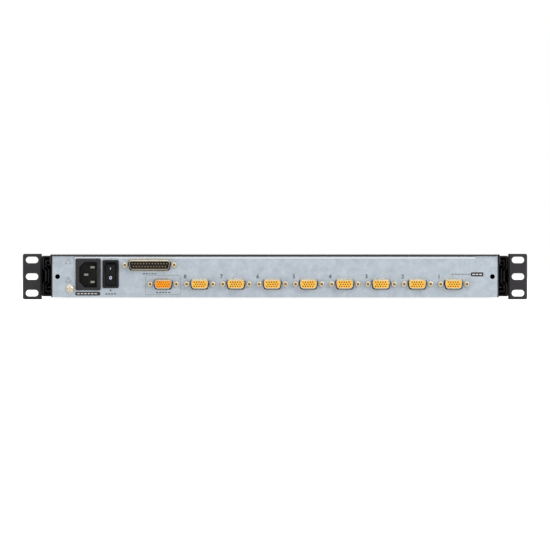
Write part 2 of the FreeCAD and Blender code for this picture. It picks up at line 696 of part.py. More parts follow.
def connector_insert(name, x, z, kind, recess, holes=None):
    """The moulded insert: a D in the shell, recess short of its rim, and a body behind the flange."""
    long, tall, flare_long, flare_tall, screw_span, flange_long = (getattr(S, alias) for alias in kind)
    back = panel_back - S.flange_sheet
    core = dee(name + "_core", x, z, back, panel_face + S.shell_out - recess - back,
               long - S.shell_wall * 2, tall - S.shell_wall * 2, dim(2.1))
    block = box(name + "_block", x - (screw_span / 2 - 2.2), back - S.block_deep, z - S.flange_tall / 2,
                screw_span - 4.4, S.block_deep, S.flange_tall)
    solid = fuse(name + "_blank", [core, block])
    return cut(name, solid, [holes]) if holes else solid


def make_ports():
    inserts = []
    for n in range(PORTS):
        x = S.port_first_x + S.port_pitch * n
        keep(f"kvm_port_{n + 1}", connector_shell(f"port_shell_{n + 1}", x, S.port_low_z, SMALL))
        holes = pin_field(f"port_holes_{n + 1}", x, S.port_low_z, panel_face + S.shell_out - 4.3, 0.5, 5,
                          HD15_ROWS)
        inserts.append(connector_insert(f"port_insert_{n + 1}", x, S.port_low_z, SMALL, dim(0.3), holes))
    keep("kvm_port_inserts", group("port_insert_set", inserts))
    keep("console_port_shell", connector_shell("console_shell", S.console_x, S.port_low_z, SMALL))
    holes = pin_field("console_holes", S.console_x, S.port_low_z, panel_face + S.shell_out - 4.6, 0.45, 5,
                      HD18_ROWS)
    keep("console_port_insert",
         connector_insert("console_insert", S.console_x, S.port_low_z, SMALL, dim(0.6), holes))
    keep("chain_port_shell", connector_shell("chain_shell", S.chain_x, S.chain_z, LARGE))
    chain_recess = dim(4.6)
    keep("chain_port_insert", connector_insert("chain_insert", S.chain_x, S.chain_z, LARGE, chain_recess))
    chain_floor = panel_face + S.shell_out - chain_recess
    keep("chain_port_pins", pin_field("chain_pins", S.chain_x, S.chain_z, chain_floor, 0.5, 4.0, DB25_ROWS))


def make_jack_screws():
    """Hexagonal standoffs that hold the connectors to the panel and take the cable plugs' screws."""
    screws = []
    corner_radius = S.hex_flats / 1.7320508
    for n, (x, z) in enumerate(jack_places()):
        head = doc.addObject("Part::Prism", f"jack_head_{n}")
        head.Polygon = 6
        head.Placement.Rotation = TURNS["Y"]
        bind(head, Circumradius=corner_radius, Height=S.hex_out, x=x, y=panel_face, z=z)
        stud_back = panel_back - S.flange_sheet - 0.6
        stud = rod(f"jack_stud_{n}", x, stud_back, z, S.jack_stud, panel_face - stud_back + 0.5, "Y")
        bore = rod(f"jack_bore_{n}", x, panel_face + 0.8, z, S.jack_thread, S.hex_out, "Y")
        screws.append(cut(f"jack_screw_{n}", fuse(f"jack_blank_{n}", [head, stud]), [bore]))
    keep("jack_screws", group("jack_screw_set", screws))


# ---------------------------------------------------------------- rear panel and power entry

def make_rear_panel():
    low, high = S.case_bottom, wall_top
    tabs = plate("panel_tabs", tray_inner, panel_back, tab_face, low, high)
    middle = plate("panel_middle", tab_inner, panel_back, panel_face, low, high - S.cover_lip)
    hem = outline("panel_hem", "YZ",
                  [(0, 0), (0.8, 0.5), (0, 2.2)],
                  tab_inner * 2, x=-tab_inner, y=panel_face, z=case_top - S.cover_lip - 2.4)
    hem_back = plate("panel_hem_back", tab_inner, panel_back, panel_face, high - S.cover_lip - 3,
                     case_top - S.cover_lip - 0.2)
    flange = plate("panel_flange", tray_inner - 14, panel_back - 10, panel_back, high - S.panel_sheet, high)
    deep = panel_face - panel_back + 4
    start = panel_back - 2
    tools = []
    for name, x, z, kind in panel_cuts():
        flare_long, flare_tall = getattr(S, kind[2]), getattr(S, kind[3])
        tools.append(dee(f"panel_cut_{name}", x, z, start, deep, flare_long + S.cut_gap * 2,
                         flare_tall + S.cut_gap * 2, dim(3.2)))
    for n, (x, z) in enumerate(jack_places()):
        tools.append(rod(f"panel_jack_{n}", x, start, z, S.jack_stud + S.stud_gap, deep, "Y"))
    for n, x in enumerate((-tab_hole_x, tab_hole_x)):
        tools.append(rod(f"panel_tab_hole_{n}", x, start, 0, S.tab_hole_radius, deep, "Y"))
    tools.append(rod("panel_ground_hole", ground_x, start, S.ground_z, 2.1, deep, "Y"))
    tools.append(box("panel_inlet_cut", inlet_x - S.inlet_body_wide / 2, start,
                     S.inlet_z - S.inlet_body_tall / 2,
                     S.inlet_body_wide, deep, S.inlet_body_tall))
    tools.append(box("panel_switch_cut", switch_x - S.switch_body_wide / 2, start,
                     S.switch_z - S.switch_body_tall / 2, S.switch_body_wide, deep, S.switch_body_tall))
    keep("rear_panel", cut("panel", fuse("panel_blank", [tabs, middle, hem, hem_back, flange]), tools))


def panel_cuts():
    """Name, X, Z and kind of each D connector."""
    ports = [(f"port_{n + 1}", S.port_first_x + S.port_pitch * n, S.port_low_z, SMALL) for n in range(PORTS)]
    return ports + [("console", S.console_x, S.port_low_z, SMALL), ("chain", S.chain_x, S.chain_z, LARGE)]


def blade_places():
    half = S.blade_span / 2
    return [("live", S.blade_live_x, half), ("neutral", S.blade_live_x, -half),
            ("earth", S.blade_earth_x, dim(0))]


def make_inlet():
    flange = box("inlet_flange", inlet_x - S.inlet_wide / 2, panel_face, S.inlet_z - S.inlet_tall / 2,
                 S.inlet_wide, S.inlet_out, S.inlet_tall)
    body = box("inlet_body", inlet_x - S.inlet_body_wide / 2, panel_face - S.inlet_body_deep,
               S.inlet_z - S.inlet_body_tall / 2, S.inlet_body_wide, S.inlet_body_deep, S.inlet_body_tall)
    wide, tall, corner = S.socket_wide / 2, S.socket_tall / 2, S.socket_corner
    mouth = panel_face + S.inlet_out
    socket = outline("inlet_socket", "XZ",
                     [(-wide, -tall), (wide - corner, -tall), (wide, -tall + corner), (wide, tall - corner),
                      (wide - corner, tall), (-wide, tall)],
                     S.socket_deep + 1, x=inlet_x, y=mouth - S.socket_deep, z=S.inlet_z)
    blades, slots = [], []
    back = panel_face - S.inlet_body_deep
    for name, x, z in blade_places():
        left = inlet_x + x - S.blade_long / 2
        low = S.inlet_z + z - S.blade_thick / 2
        start = back - S.blade_tail
        length = mouth - S.blade_short - start
        if name != "earth":
            length = length - 1.0
        blades.append(box(f"inlet_blade_{name}", left, start, low, S.blade_long, length, S.blade_thick))
        slots.append(box(f"inlet_slot_{name}", left, back - 1, low, S.blade_long,
                         mouth - S.socket_deep - back + 1, S.blade_thick))
    keep("power_inlet", cut("inlet", fuse("inlet_blank", [flange, body]), [socket] + slots))
    keep("inlet_blades", group("inlet_blade_set", blades))


def make_switch():
    flange = box("switch_flange", switch_x - S.switch_wide / 2, panel_face, S.switch_z - S.switch_tall / 2,
                 S.switch_wide, S.switch_out, S.switch_tall)
    body = box("switch_body", switch_x - S.switch_body_wide / 2, panel_face - S.switch_body_deep,
               S.switch_z - S.switch_body_tall / 2, S.switch_body_wide, S.switch_body_deep,
               S.switch_body_tall)
    pivot_y = panel_face - 1.5
    window = box("switch_window", switch_x - S.switch_window_wide / 2, pivot_y - 6.5,
                 S.switch_z - S.switch_window_tall / 2, S.switch_window_wide, 12, S.switch_window_tall)
    bore = rod("switch_bore", switch_x - S.switch_body_wide / 2 + 0.6, pivot_y, S.switch_z,
               S.pivot_radius + S.pivot_gap, S.switch_body_wide - 1.2, "X")
    hollow = fuse("switch_hollow", [window, bore])
    keep("switch_frame", cut("switch", fuse("switch_blank", [flange, body]), [hollow]))
    half, back = S.rocker_half, S.rocker_back
    paddle = outline("rocker_paddle", "YZ",
                     [(-back, -half * 0.45), (S.rocker_end_y - 3.4, -half), (S.rocker_end_y, -half),
                      (S.rocker_mid_y, 0), (S.rocker_end_y, half), (S.rocker_end_y - 3.4, half),
                      (-back, half * 0.45)],
                     S.rocker_wide, x=-S.rocker_wide / 2)
    pin_half = S.switch_body_wide / 2 - 0.9
    pin = rod("rocker_pin", -pin_half, 0, 0, S.pivot_radius, pin_half * 2, "X")
    rocker = fuse("rocker", [paddle, pin])
    rocker.Placement.Rotation = Rotation(Vector(1, 0, 0), -S.rocker_tilt.value)
    keep("switch_rocker", bind(rocker, x=switch_x, y=pivot_y, z=S.switch_z))
    washer = rod("ground_washer", ground_x, tab_face, S.ground_z, S.ground_head, 0.8, "Y")
    head = rod("ground_head", ground_x, tab_face + 0.8, S.ground_z, 3.2, 2.2, "Y")
    stud = rod("ground_stud", ground_x, tab_face - 8, S.ground_z, 2.0, 9, "Y")
    drive = fuse("ground_drive", [
        box("ground_drive_level", ground_x - 2.1, tab_face + 1.9, S.ground_z - 0.45, 4.2, 2, 0.9),
        box("ground_drive_upright", ground_x - 0.45, tab_face + 1.9, S.ground_z - 2.1, 0.9, 2, 4.2)])
    keep("ground_screw", cut("ground", fuse("ground_blank", [washer, head, stud]), [drive]))


# ---------------------------------------------------------------- electronics

def make_boards():
    board = box("switch_board", board_left, board_front, board_under, S.board_right - board_left,
                board_rear - board_front, S.board_sheet)
    keep("main_board", board)
    chips = []
    for n in range(PORTS):
        x = S.port_first_x + S.port_pitch * n - 7
        chips.append(box(f"port_chip_{n}", x, board_rear - 50, board_top, 14, 14, 1.6))
    large_chips = [("matrix", -100, 40, 30, 2.2), ("video", -20, 40, 26, 2.2), ("logic", 60, 34, 22, 2.0)]
    for name, x, y, size, tall in large_chips:
        chips.append(box(f"{name}_chip", dim(x), board_front + y - size / 2, board_top, size, size, tall))
    for n in range(4):
        chips.append(rod(f"board_capacitor_{n}", board_left + 30 + 9 * n, board_front + 14, board_top, 3.2,
                         9))
    keep("switch_chips", group("switch_chip_set", chips))
    supply_right = tray_inner - 5
    keep("power_board",
         box("supply_board", S.supply_left, supply_front, board_under, supply_right - S.supply_left,
                            supply_rear - supply_front, S.board_sheet))
    parts = [
        box("supply_transformer", S.supply_left + 16, supply_front + 62, board_top, 36, 32, 24),
        box("supply_heatsink", S.supply_left + 60, supply_front + 20, board_top, 4, 60, 22),
        box("supply_filter", S.supply_left + 20, supply_rear - 46, board_top, 22, 18, 18),
        box("supply_connector", S.supply_left + 8, supply_front + 4, board_top, 24, 8, 9),
    ]
    for n in range(3):
        parts.append(rod(f"supply_capacitor_{n}", S.supply_left + 24 + 11 * n,
                         supply_front + 34 + 11 * (n % 2),
                         board_top, 5.2, 20))
    keep("power_parts", group("supply_part_set", parts))


# ---------------------------------------------------------------- keyboard

MAIN_ROWS = [
    [1.25, 1.25, 1.25, 6.25, 1.25, 1.25, 1.25, 1.25],
    [2.25] + [1] * 10 + [2.75],
    [1.75] + [1] * 11 + [2.25],
    [1.5] + [1] * 12 + [1.5],
    [1] * 13 + [2],
]
FUNCTION_ROW = [0, 2, 3, 4, 5, 6.5, 7.5, 8.5, 9.5, 11, 12, 13, 14]
MAIN_UNITS, NAVIGATION_UNITS, NUMBER_UNITS = 15, 3, 4


def key_layout():
    """(block, left, row, width, rows tall) of every key, in key pitches from its block's left edge.

    Row 0 is the space bar's; row 5 is the function row."""
    keys = []
    for row, widths in enumerate(MAIN_ROWS):
        left = 0
        for width in widths:
            keys.append(("main", left, row, width, 1))
            left += width
    keys += [("main", left, 5, 1, 1) for left in FUNCTION_ROW]
    for row in (5, 4, 3):
        keys += [("navigation", left, row, 1, 1) for left in range(3)]
    keys.append(("navigation", 1, 1, 1, 1))
    keys += [("navigation", left, 0, 1, 1) for left in range(3)]
    keys += [("number", left, 4, 1, 1) for left in range(4)]
    keys += [("number", left, row, 1, 1) for row in (3, 2, 1) for left in range(3)]
    keys += [("number", 3, 2, 1, 2), ("number", 3, 0, 1, 2), ("number", 0, 0, 2, 1), ("number", 2, 0, 1, 1)]
    return keys


def block_left(block):
    pitch, gap = S.key_pitch, S.key_block_gap
    total = pitch * (MAIN_UNITS + NAVIGATION_UNITS + NUMBER_UNITS) + gap * 2
    return {
        "main": -total / 2,
        "navigation": -total / 2 + pitch * MAIN_UNITS + gap,
        "number": total / 2 - pitch * NUMBER_UNITS,
    }[block]


def row_front(row):
    """Front edge and depth of a key row."""
    if row == 5:
        return S.key_front + S.key_pitch * 5 + S.key_row_gap, S.function_deep
    return S.key_front + S.key_pitch * row, S.key_pitch


def frustum(x0, y0, z0, x1, y1, z1, inset):
    """A key cap: a box whose top face is smaller by inset all round."""
    def ring(left, front, right, back, z):
        corners = [Vector(left, front, z), Vector(right, front, z), Vector(right, back, z),
                   Vector(left, back, z)]
        return Part.makePolygon(corners + corners[:1])
    low = ring(x0, y0, x1, y1, z0)
    high = ring(x0 + inset, y0 + inset, x1 - inset, y1 - inset, z1)
    return Part.makeLoft([low, high], True, True)


def key_box(key):
    """The skirt of a key: low and high X and Y."""
    block, left, row, width, tall = key
    front, deep = row_front(row)
    half_gap = S.key_gap.value / 2
    x0 = block_left(block).value + left * S.key_pitch.value
    deep_all = deep.value + (tall - 1) * S.key_pitch.value
    return (x0 + half_gap, front.value + half_gap, x0 + width * S.key_pitch.value - half_gap,
            front.value + deep_all - half_gap)


def make_keys():
    domes = []
    solids = {"main": [], "navigation": [], "number": []}
    dome_base = S.base_top.value + 0.4
    for key in key_layout():
        x0, y0, x1, y1 = key_box(key)
        solids[key[0]].append(frustum(x0, y0, S.key_bottom.value, x1, y1, S.key_top.value, S.key_taper.value))
        centre = Vector((x0 + x1) / 2, (y0 + y1) / 2, dome_base)
        domes.append(Part.makeCone(S.dome_radius.value, S.dome_radius.value - 1.2,
                                   S.key_bottom.value - 0.2 - dome_base, centre))
    for block, keys in solids.items():
        obj = doc.addObject("Part::Feature", f"{block}_key_caps")
        obj.Shape = Part.makeCompound(keys)
        keep(f"{block}_keys", obj)
    dome_set = doc.addObject("Part::Feature", "dome_set")
    dome_set.Shape = Part.makeCompound(domes)
    half = block_left("main")
    rear = row_front(5)[0] + S.function_deep
    mat = box("dome_mat", half, S.key_front, S.base_top, -half * 2, rear - S.key_front, 0.4)
    keep("rubber_domes", group("rubber_dome_sheet", [mat, dome_set]))
    base = plate("base_plate", tray_inner, S.key_front - 12, S.deck_rear - 80, S.base_top - S.base_sheet,
                 S.base_top)
    ribs = [plate(f"base_rib_{n}", tray_inner, y, y + 1.6, floor_top, S.base_top - S.base_sheet)
            for n, y in enumerate((S.key_front - 12, S.key_front + 50, S.deck_rear - 81.6))]
    keep("keyboard_base", fuse("key_base", [base] + ribs))


def make_deck():
    deck = plate("deck_plate", tray_inner, S.case_front + S.tray_sheet, S.deck_rear, deck_under, S.deck_top)
    gap = S.well_gap
    wells = []
    for block, units in (("main", MAIN_UNITS), ("navigation", NAVIGATION_UNITS), ("number", NUMBER_UNITS)):
        left = block_left(block)
        runs = {"main": [(0, 5, 0, units), (5, 6, 0, 1), (5, 6, 2, 6), (5, 6, 6.5, 10.5), (5, 6, 11, 15)],
                "navigation": [(0, 1, 0, 3), (1, 2, 1, 2), (3, 5, 0, 3), (5, 6, 0, 3)],
                "number": [(0, 5, 0, units)]}[block]
        for low_row, high_row, low, high in runs:
            front = row_front(low_row)[0]
            last_front, last_deep = row_front(high_row - 1)
            wells.append(box(f"well_{block}_{low_row}_{low}", left + S.key_pitch * low - gap, front - gap,
                             deck_under - 1, S.key_pitch * (high - low) + gap * 2,
                             last_front + last_deep - front + gap * 2, S.deck_sheet + 2))
    wells.append(plate("well_pad", S.pad_wide / 2, S.pad_front, S.pad_front + S.pad_deep, deck_under - 1,
                       S.deck_top + 1))
    well_set = fuse("well_set", wells)
    button_front = S.pad_front - 4 - S.pad_button_deep
    half_pad = S.pad_wide / 2
    clear = S.pad_button_gap
    button_wells = [
        box(f"well_button_{n}", x, button_front - clear, deck_under - 1, half_pad - 0.5 + clear * 2,
            S.pad_button_deep + clear * 2, S.deck_sheet + 2)
        for n, x in enumerate((-half_pad - clear, 0.5 - clear))
    ]
    keep("keyboard_deck", cut("deck", deck, [well_set, fuse("button_well_set", button_wells)]))
    keep("touchpad", plate("pad_plate", half_pad, S.pad_front, S.pad_front + S.pad_deep, deck_under - 2,
                           S.deck_top - S.pad_sink))
    for side, x in (("left", -half_pad), ("right", dim(0.5))):
        keep(f"touchpad_button_{side}",
             box(f"pad_button_{side}", x, button_front, deck_under - 0.4, half_pad - 0.5, S.pad_button_deep,
                 S.deck_top + 0.5 - deck_under + 0.4))


# ---------------------------------------------------------------- front handle

def make_handle():
    back = S.case_front
    bevel = 4.0
    blank = outline("handle_blank", "YZ",
                    [(S.bezel_front + bevel, S.case_bottom), (back, S.case_bottom), (back, S.bezel_top),
                     (S.bezel_front + 2, S.bezel_top), (S.bezel_front, S.bezel_top - 2),
                     (S.bezel_front, S.case_bottom + bevel)],
                    bezel_half * 2, x=-bezel_half)
    grip = plate("handle_grip", S.grip_wide / 2, S.grip_front, S.grip_rear, S.case_bottom - 1, S.grip_top)
    pockets = [
        box(f"handle_pocket_{side}", S.release_x * side - S.release_wide / 2 - S.release_gap,
            S.bezel_front - 1,
            S.release_mid_z - S.release_tall / 2 - S.release_gap, S.release_wide + S.release_gap * 2,
            S.release_deep + 4.5, S.release_tall + S.release_gap * 2)
        for side in (-1, 1)
    ]
    port = box("handle_port", S.usb_x - S.usb_wide / 2, S.bezel_front - 1, S.release_mid_z - S.usb_tall / 2,
               S.usb_wide, S.usb_deep + 1, S.usb_tall)
    keep("front_handle", cut("handle", blank, [grip, port] + pockets))
    for side, x in (("left", -S.release_x), ("right", S.release_x)):
        keep(f"release_{side}",
             box(f"release_button_{side}", x - S.release_wide / 2, S.bezel_front - S.release_out,
                 S.release_mid_z - S.release_tall / 2, S.release_wide, S.release_deep, S.release_tall))
    wall = 0.4
    shell = box("usb_shell", S.usb_x - S.usb_wide / 2, S.bezel_front - 0.2, S.release_mid_z - S.usb_tall / 2,
                S.usb_wide, S.usb_deep + 0.2, S.usb_tall)
    hollow = box("usb_hollow", S.usb_x - S.usb_wide / 2 + wall, S.bezel_front - 1,
                 S.release_mid_z - S.usb_tall / 2 + wall, S.usb_wide - wall * 2, S.usb_deep - 1,
                 S.usb_tall - wall * 2)
    tongue = box("usb_tongue", S.usb_x - 5.4, S.bezel_front + 1, S.release_mid_z + 0.2, 10.8, S.usb_deep - 2,
                 1.6)
    keep("usb_port", fuse("usb", [cut("usb_can", shell, [hollow]), tongue]))


# ---------------------------------------------------------------- LCD lid

def notch_tools(name, low, high):
    """The two hinge notches in the lid's rear edge, as cutters from height low to high."""
    return [
        box(f"{name}_notch_{side}", S.hinge_x * side - S.hinge_notch / 2, S.lid_rear - S.hinge_notch_deep,
            low,
            S.hinge_notch, S.hinge_notch_deep + 1, high - low)
        for side in (-1, 1)
    ]


def make_lid():
    bezel_top = S.lid_bottom + S.lid_bezel
    shell = plate("lid_shell", lid_half, S.lid_front, S.lid_rear, bezel_top, lid_top)
    hollow = plate("lid_hollow", lid_half - S.lid_sheet, S.lid_front + S.lid_sheet, S.lid_rear - S.lid_sheet,
                   bezel_top - 1, lid_top - S.lid_sheet)
    outer_notches = notch_tools("lid_cover", bezel_top - 1, lid_top + 1)
    notch_walls = []
    for side in (-1, 1):
        frame = box(f"lid_notch_frame_{side}", S.hinge_x * side - S.hinge_notch / 2 - S.lid_sheet,
                    S.lid_rear - S.hinge_notch_deep - S.lid_sheet, bezel_top, S.hinge_notch + S.lid_sheet * 2,
                    S.hinge_notch_deep + S.lid_sheet, lid_top - bezel_top)
        notch_walls.append(frame)
    skin = cut("lid_skin", shell, [hollow])
    keep("lcd_cover", cut("lid_cover", fuse("lid_walls", [skin] + notch_walls), outer_notches))
    bezel = plate("lid_bezel", lid_half, S.lid_front, S.lid_rear, S.lid_bottom, bezel_top)
    window = plate("lid_window", S.screen_wide / 2, S.screen_mid_y - S.screen_tall / 2,
                   S.screen_mid_y + S.screen_tall / 2, S.lid_bottom - 1, bezel_top + 1)
    buttons, button_holes = [], []
    for n in range(5):
        y = S.screen_mid_y - 44 + 22 * n
        buttons.append(box(f"lid_button_{n}", lid_half - 26, y - 5, S.lid_bottom - 0.7, 7, 10, 2.7))
        button_holes.append(box(f"lid_button_hole_{n}", lid_half - 26.3, y - 5.3, S.lid_bottom - 1, 7.6, 10.6,
                                4))
    keep("lcd_bezel", cut("bezel", bezel, [window] + notch_tools("lid_bezel", S.lid_bottom - 1, bezel_top + 1)
                          + button_holes))
    keep("lcd_buttons", group("lid_button_set", buttons))
    keep("lcd_panel", plate("lcd_module", S.module_wide / 2, S.screen_mid_y - S.module_tall / 2,
                            S.screen_mid_y + S.module_tall / 2, bezel_top, bezel_top + S.module_thick))
    driver_low = bezel_top + S.module_thick
    driver = plate("driver_board", dim(60), S.screen_mid_y + 10, S.screen_mid_y + 100, driver_low,
                   driver_low + S.board_sheet)
    driver_parts = [box(f"driver_part_{n}", dim(x), S.screen_mid_y + y, driver_low + S.board_sheet, size,
                        size, 1.8)
                    for n, (x, y, size) in enumerate(((-30, 40, 24), (20, 50, 16), (-50, 80, 10)))]
    keep("lcd_board", fuse("driver", [driver] + driver_parts))


def make_hinges():
    """Steel brackets stand on the tray and carry the hinge pins; leaves in the lid turn on the pins."""
    notch_half = S.hinge_notch / 2
    arm_half = S.hinge_arm / 2
    barrel = rod("hinge_barrel_rod", S.hinge_x - arm_half, S.hinge_y, S.hinge_z, S.hinge_barrel, S.hinge_arm,
                 "X")
    pin = rod("hinge_pin_rod", S.hinge_x - notch_half + 1, S.hinge_y, S.hinge_z, S.hinge_pin,
              S.hinge_notch - 2, "X")
    arm = box("hinge_upright", S.hinge_x - arm_half, S.hinge_y - 3, floor_top, S.hinge_arm, 6,
              S.hinge_z - floor_top)
    foot = box("hinge_foot", S.hinge_x - arm_half - 8, S.hinge_y - 8, floor_top, S.hinge_arm + 16, 18, 2)
    bracket = fuse("hinge_bracket", [barrel, pin, arm, foot])
    keep("hinge_brackets", group("hinge_bracket_set", [bracket, mirrored("hinge_bracket_left", bracket)]))
    leaves = []
    leaf_front = S.lid_rear - S.hinge_notch_deep
    for side in (-1, 1):
        for end in (-1, 1):
            outer = S.hinge_x * side + notch_half * end
            left = outer if end < 0 else outer - S.leaf_wide
            name = f"leaf_{side}_{end}"
            block = box(name + "_block", left, leaf_front, S.hinge_z - 6, S.leaf_wide,
                        S.lid_rear - 0.6 - leaf_front, 12)
            bore = rod(name + "_bore", left - 1, S.hinge_y, S.hinge_z, S.hinge_pin + S.hinge_gap,
                       S.leaf_wide + 2, "X")
            leaves.append(cut(name, block, [bore]))
    keep("hinge_leaves", group("leaf_set", leaves))


make_slides()
make_brackets()
make_tray()
make_cover()
make_ports()
make_jack_screws()
make_rear_panel()
make_inlet()
make_switch()
make_boards()
make_keys()
make_deck()
make_handle()
make_lid()
make_hinges()

doc.recompute()

problems = [f"{obj.Label}: {obj.State}" for obj in doc.Objects if {"Invalid", "Error"} & set(obj.State)]
for obj in nodes:
    shape = obj.Shape
    if shape.isNull() or not shape.isValid() or not shape.Solids:
        problems.append(f"{obj.Label}: its shape is null, invalid or holds no solid")
if problems:
    raise RuntimeError("; ".join(problems))

os.makedirs("parts", exist_ok=True)
for obj in nodes:
    obj.Shape.exportStep(f"parts/{obj.Label}.step")
print(f"{len(nodes)} nodes, {sum(len(obj.Shape.Solids) for obj in nodes)} solids")
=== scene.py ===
# %% [markdown]
# # Dressing a rack-mounted KVM console
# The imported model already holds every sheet, slide and screw at its real size. This lesson gives
# it its looks: finishes for the metal and plastic parts, and finer pieces where a stamped,
# moulded or machined shape shows more than the plain solid does.

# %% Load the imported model
import json
import math
import bpy
import numpy as np
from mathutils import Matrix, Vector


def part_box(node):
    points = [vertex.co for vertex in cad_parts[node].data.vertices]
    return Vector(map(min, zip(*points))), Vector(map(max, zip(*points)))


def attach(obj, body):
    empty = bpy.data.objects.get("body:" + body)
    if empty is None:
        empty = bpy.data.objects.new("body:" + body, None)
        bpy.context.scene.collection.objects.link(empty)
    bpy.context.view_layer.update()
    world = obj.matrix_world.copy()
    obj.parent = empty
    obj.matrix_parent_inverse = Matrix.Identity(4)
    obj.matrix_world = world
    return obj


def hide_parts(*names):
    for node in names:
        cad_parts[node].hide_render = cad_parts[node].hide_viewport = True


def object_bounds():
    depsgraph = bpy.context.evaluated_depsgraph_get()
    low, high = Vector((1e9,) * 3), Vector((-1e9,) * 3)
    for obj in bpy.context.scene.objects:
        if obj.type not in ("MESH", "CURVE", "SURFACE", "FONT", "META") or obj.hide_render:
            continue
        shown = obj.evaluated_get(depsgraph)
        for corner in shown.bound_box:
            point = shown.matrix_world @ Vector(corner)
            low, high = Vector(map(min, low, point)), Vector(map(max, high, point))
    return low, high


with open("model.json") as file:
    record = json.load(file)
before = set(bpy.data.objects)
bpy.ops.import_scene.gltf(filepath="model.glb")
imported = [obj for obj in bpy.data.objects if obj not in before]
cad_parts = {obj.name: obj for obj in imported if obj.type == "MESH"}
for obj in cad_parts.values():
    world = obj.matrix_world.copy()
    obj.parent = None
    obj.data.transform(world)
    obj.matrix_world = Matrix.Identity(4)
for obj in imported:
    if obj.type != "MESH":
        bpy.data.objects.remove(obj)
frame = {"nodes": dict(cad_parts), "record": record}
cad_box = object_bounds()
nodes = frame["nodes"]
MM = 0.001
print(len(nodes), "nodes; box", [round(v, 4) for v in (*cad_box[0], *cad_box[1])])

# %% [markdown]
# ## The camera
# Rack equipment is best seen straight on through a long lens, so that its ports stay square. We
# could use an orthographic camera, but a 4 m distance keeps a trace of depth. The lens follows
# from the width that the view has to cover at the rear ears.

# %% Camera behind the rear panel
DISTANCE = 4.0
VIEW_WIDTH = 526.35 * MM
CAMERA_HEIGHT = 1.5 * MM
ear_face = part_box("rear_bracket_left")[1].y

lens = bpy.data.cameras.new("camera")
lens.sensor_width = 36.0
lens.lens = lens.sensor_width * DISTANCE / VIEW_WIDTH
camera = bpy.data.objects.new("camera", lens)
camera.location = (0, ear_face + DISTANCE, CAMERA_HEIGHT)
camera.rotation_euler = (math.pi / 2, 0, math.pi)
bpy.context.scene.collection.objects.link(camera)
bpy.context.scene.camera = camera
print("lens", round(lens.lens), "mm")

# %% [markdown]
# ## The studio
# Plated sheet metal shows what stands around it, so the room matters as much as the lamps: a
# white world gives the panel its even pale tone, and one large lamp to the side makes a soft
# gradient.

# %% World, lamps and floor
scene = bpy.context.scene
scene.view_settings.view_transform = "Standard"
world = bpy.data.worlds.new("studio")
world.use_nodes = True
world.node_tree.nodes["Background"].inputs["Color"].default_value = (1, 1, 1, 1)
world.node_tree.nodes["Background"].inputs["Strength"].default_value = 1.0
scene.world = world


def lamp(name, place, target, size, power):
    """A square area lamp at place that faces target."""
    light = bpy.data.lights.new(name, "AREA")
    light.size = size
    light.energy = power
    obj = bpy.data.objects.new(name, light)
    obj.location = place
    toward = Vector(target) - Vector(place)
    obj.rotation_euler = toward.to_track_quat("-Z", "Y").to_euler()
    scene.collection.objects.link(obj)


lamp("key", (-1.7, 2.2, 1.0), (-0.1, 0.66, 0), 1.2, 32)
lamp("fill", (1.6, 2.4, 0.5), (0, 0.66, 0), 1.4, 3)
lamp("top", (0.2, 0.2, 2.2), (0, 0.3, 0), 1.8, 24)
lamp("front", (0.8, -2.2, 1.3), (0, 0, 0), 1.4, 22)


# %% [markdown]
# ## Surfaces from formulas
# Every new piece here is a stack of closed outlines, called rings, with the same number of
# points. Joining neighbouring rings with four-sided faces gives a lofted skin. We compute the
# rings as whole arrays, so a rounded edge is one more row of numbers rather than a modelling
# step.

# %% Rings into meshes
def corners_cut(corners, radius, steps=5):
    """A convex outline with its corners rounded, as an array of 2-D points, counterclockwise.

    At each corner the arc starts radius / tan(half the angle) before it and ends as far after it,
    and its points turn evenly between the two directions seen from the arc's centre."""
    corners = np.asarray(corners, float)
    back = np.roll(corners, 1, axis=0) - corners
    ahead = np.roll(corners, -1, axis=0) - corners
    back_length = np.linalg.norm(back, axis=1, keepdims=True)
    ahead_length = np.linalg.norm(ahead, axis=1, keepdims=True)
    back, ahead = back / back_length, ahead / ahead_length
    half = np.arccos(np.clip((back * ahead).sum(1), -1, 1))[:, None] / 2
    room = 0.49 * np.minimum(back_length, ahead_length) * np.tan(half)
    radius = np.minimum(np.maximum(radius, 1e-7), room)
    middle = back + ahead
    middle /= np.linalg.norm(middle, axis=1, keepdims=True)
    centre = corners + middle * radius / np.sin(half)
    start = (corners + back * radius / np.tan(half) - centre) / radius
    end = (corners + ahead * radius / np.tan(half) - centre) / radius
    turn = (math.pi - 2 * half)[:, None]
    share = np.linspace(0, 1, steps)[None, :, None]
    early, late = np.sin((1 - share) * turn), np.sin(share * turn)
    arc = (early * start[:, None] + late * end[:, None]) / np.sin(turn)
    return (centre[:, None] + radius[:, None] * arc).reshape(-1, 2)


def rectangle(wide, tall, radius, steps=5):
    """A rounded rectangle about the origin."""
    x, z = wide / 2, tall / 2
    return corners_cut([(-x, -z), (x, -z), (x, z), (-x, z)], radius, steps)


def dee(long, tall, radius, steps=6):
    """A D-connector's outline about the origin, wide side up: its ends slant by 10 degrees."""
    wide, half = long / 2, tall / 2
    narrow = wide - tall * math.tan(math.radians(10))
    corners = [(-narrow, -half), (narrow, -half), (wide, half), (-wide, half)]
    return corners_cut(corners, radius, steps)


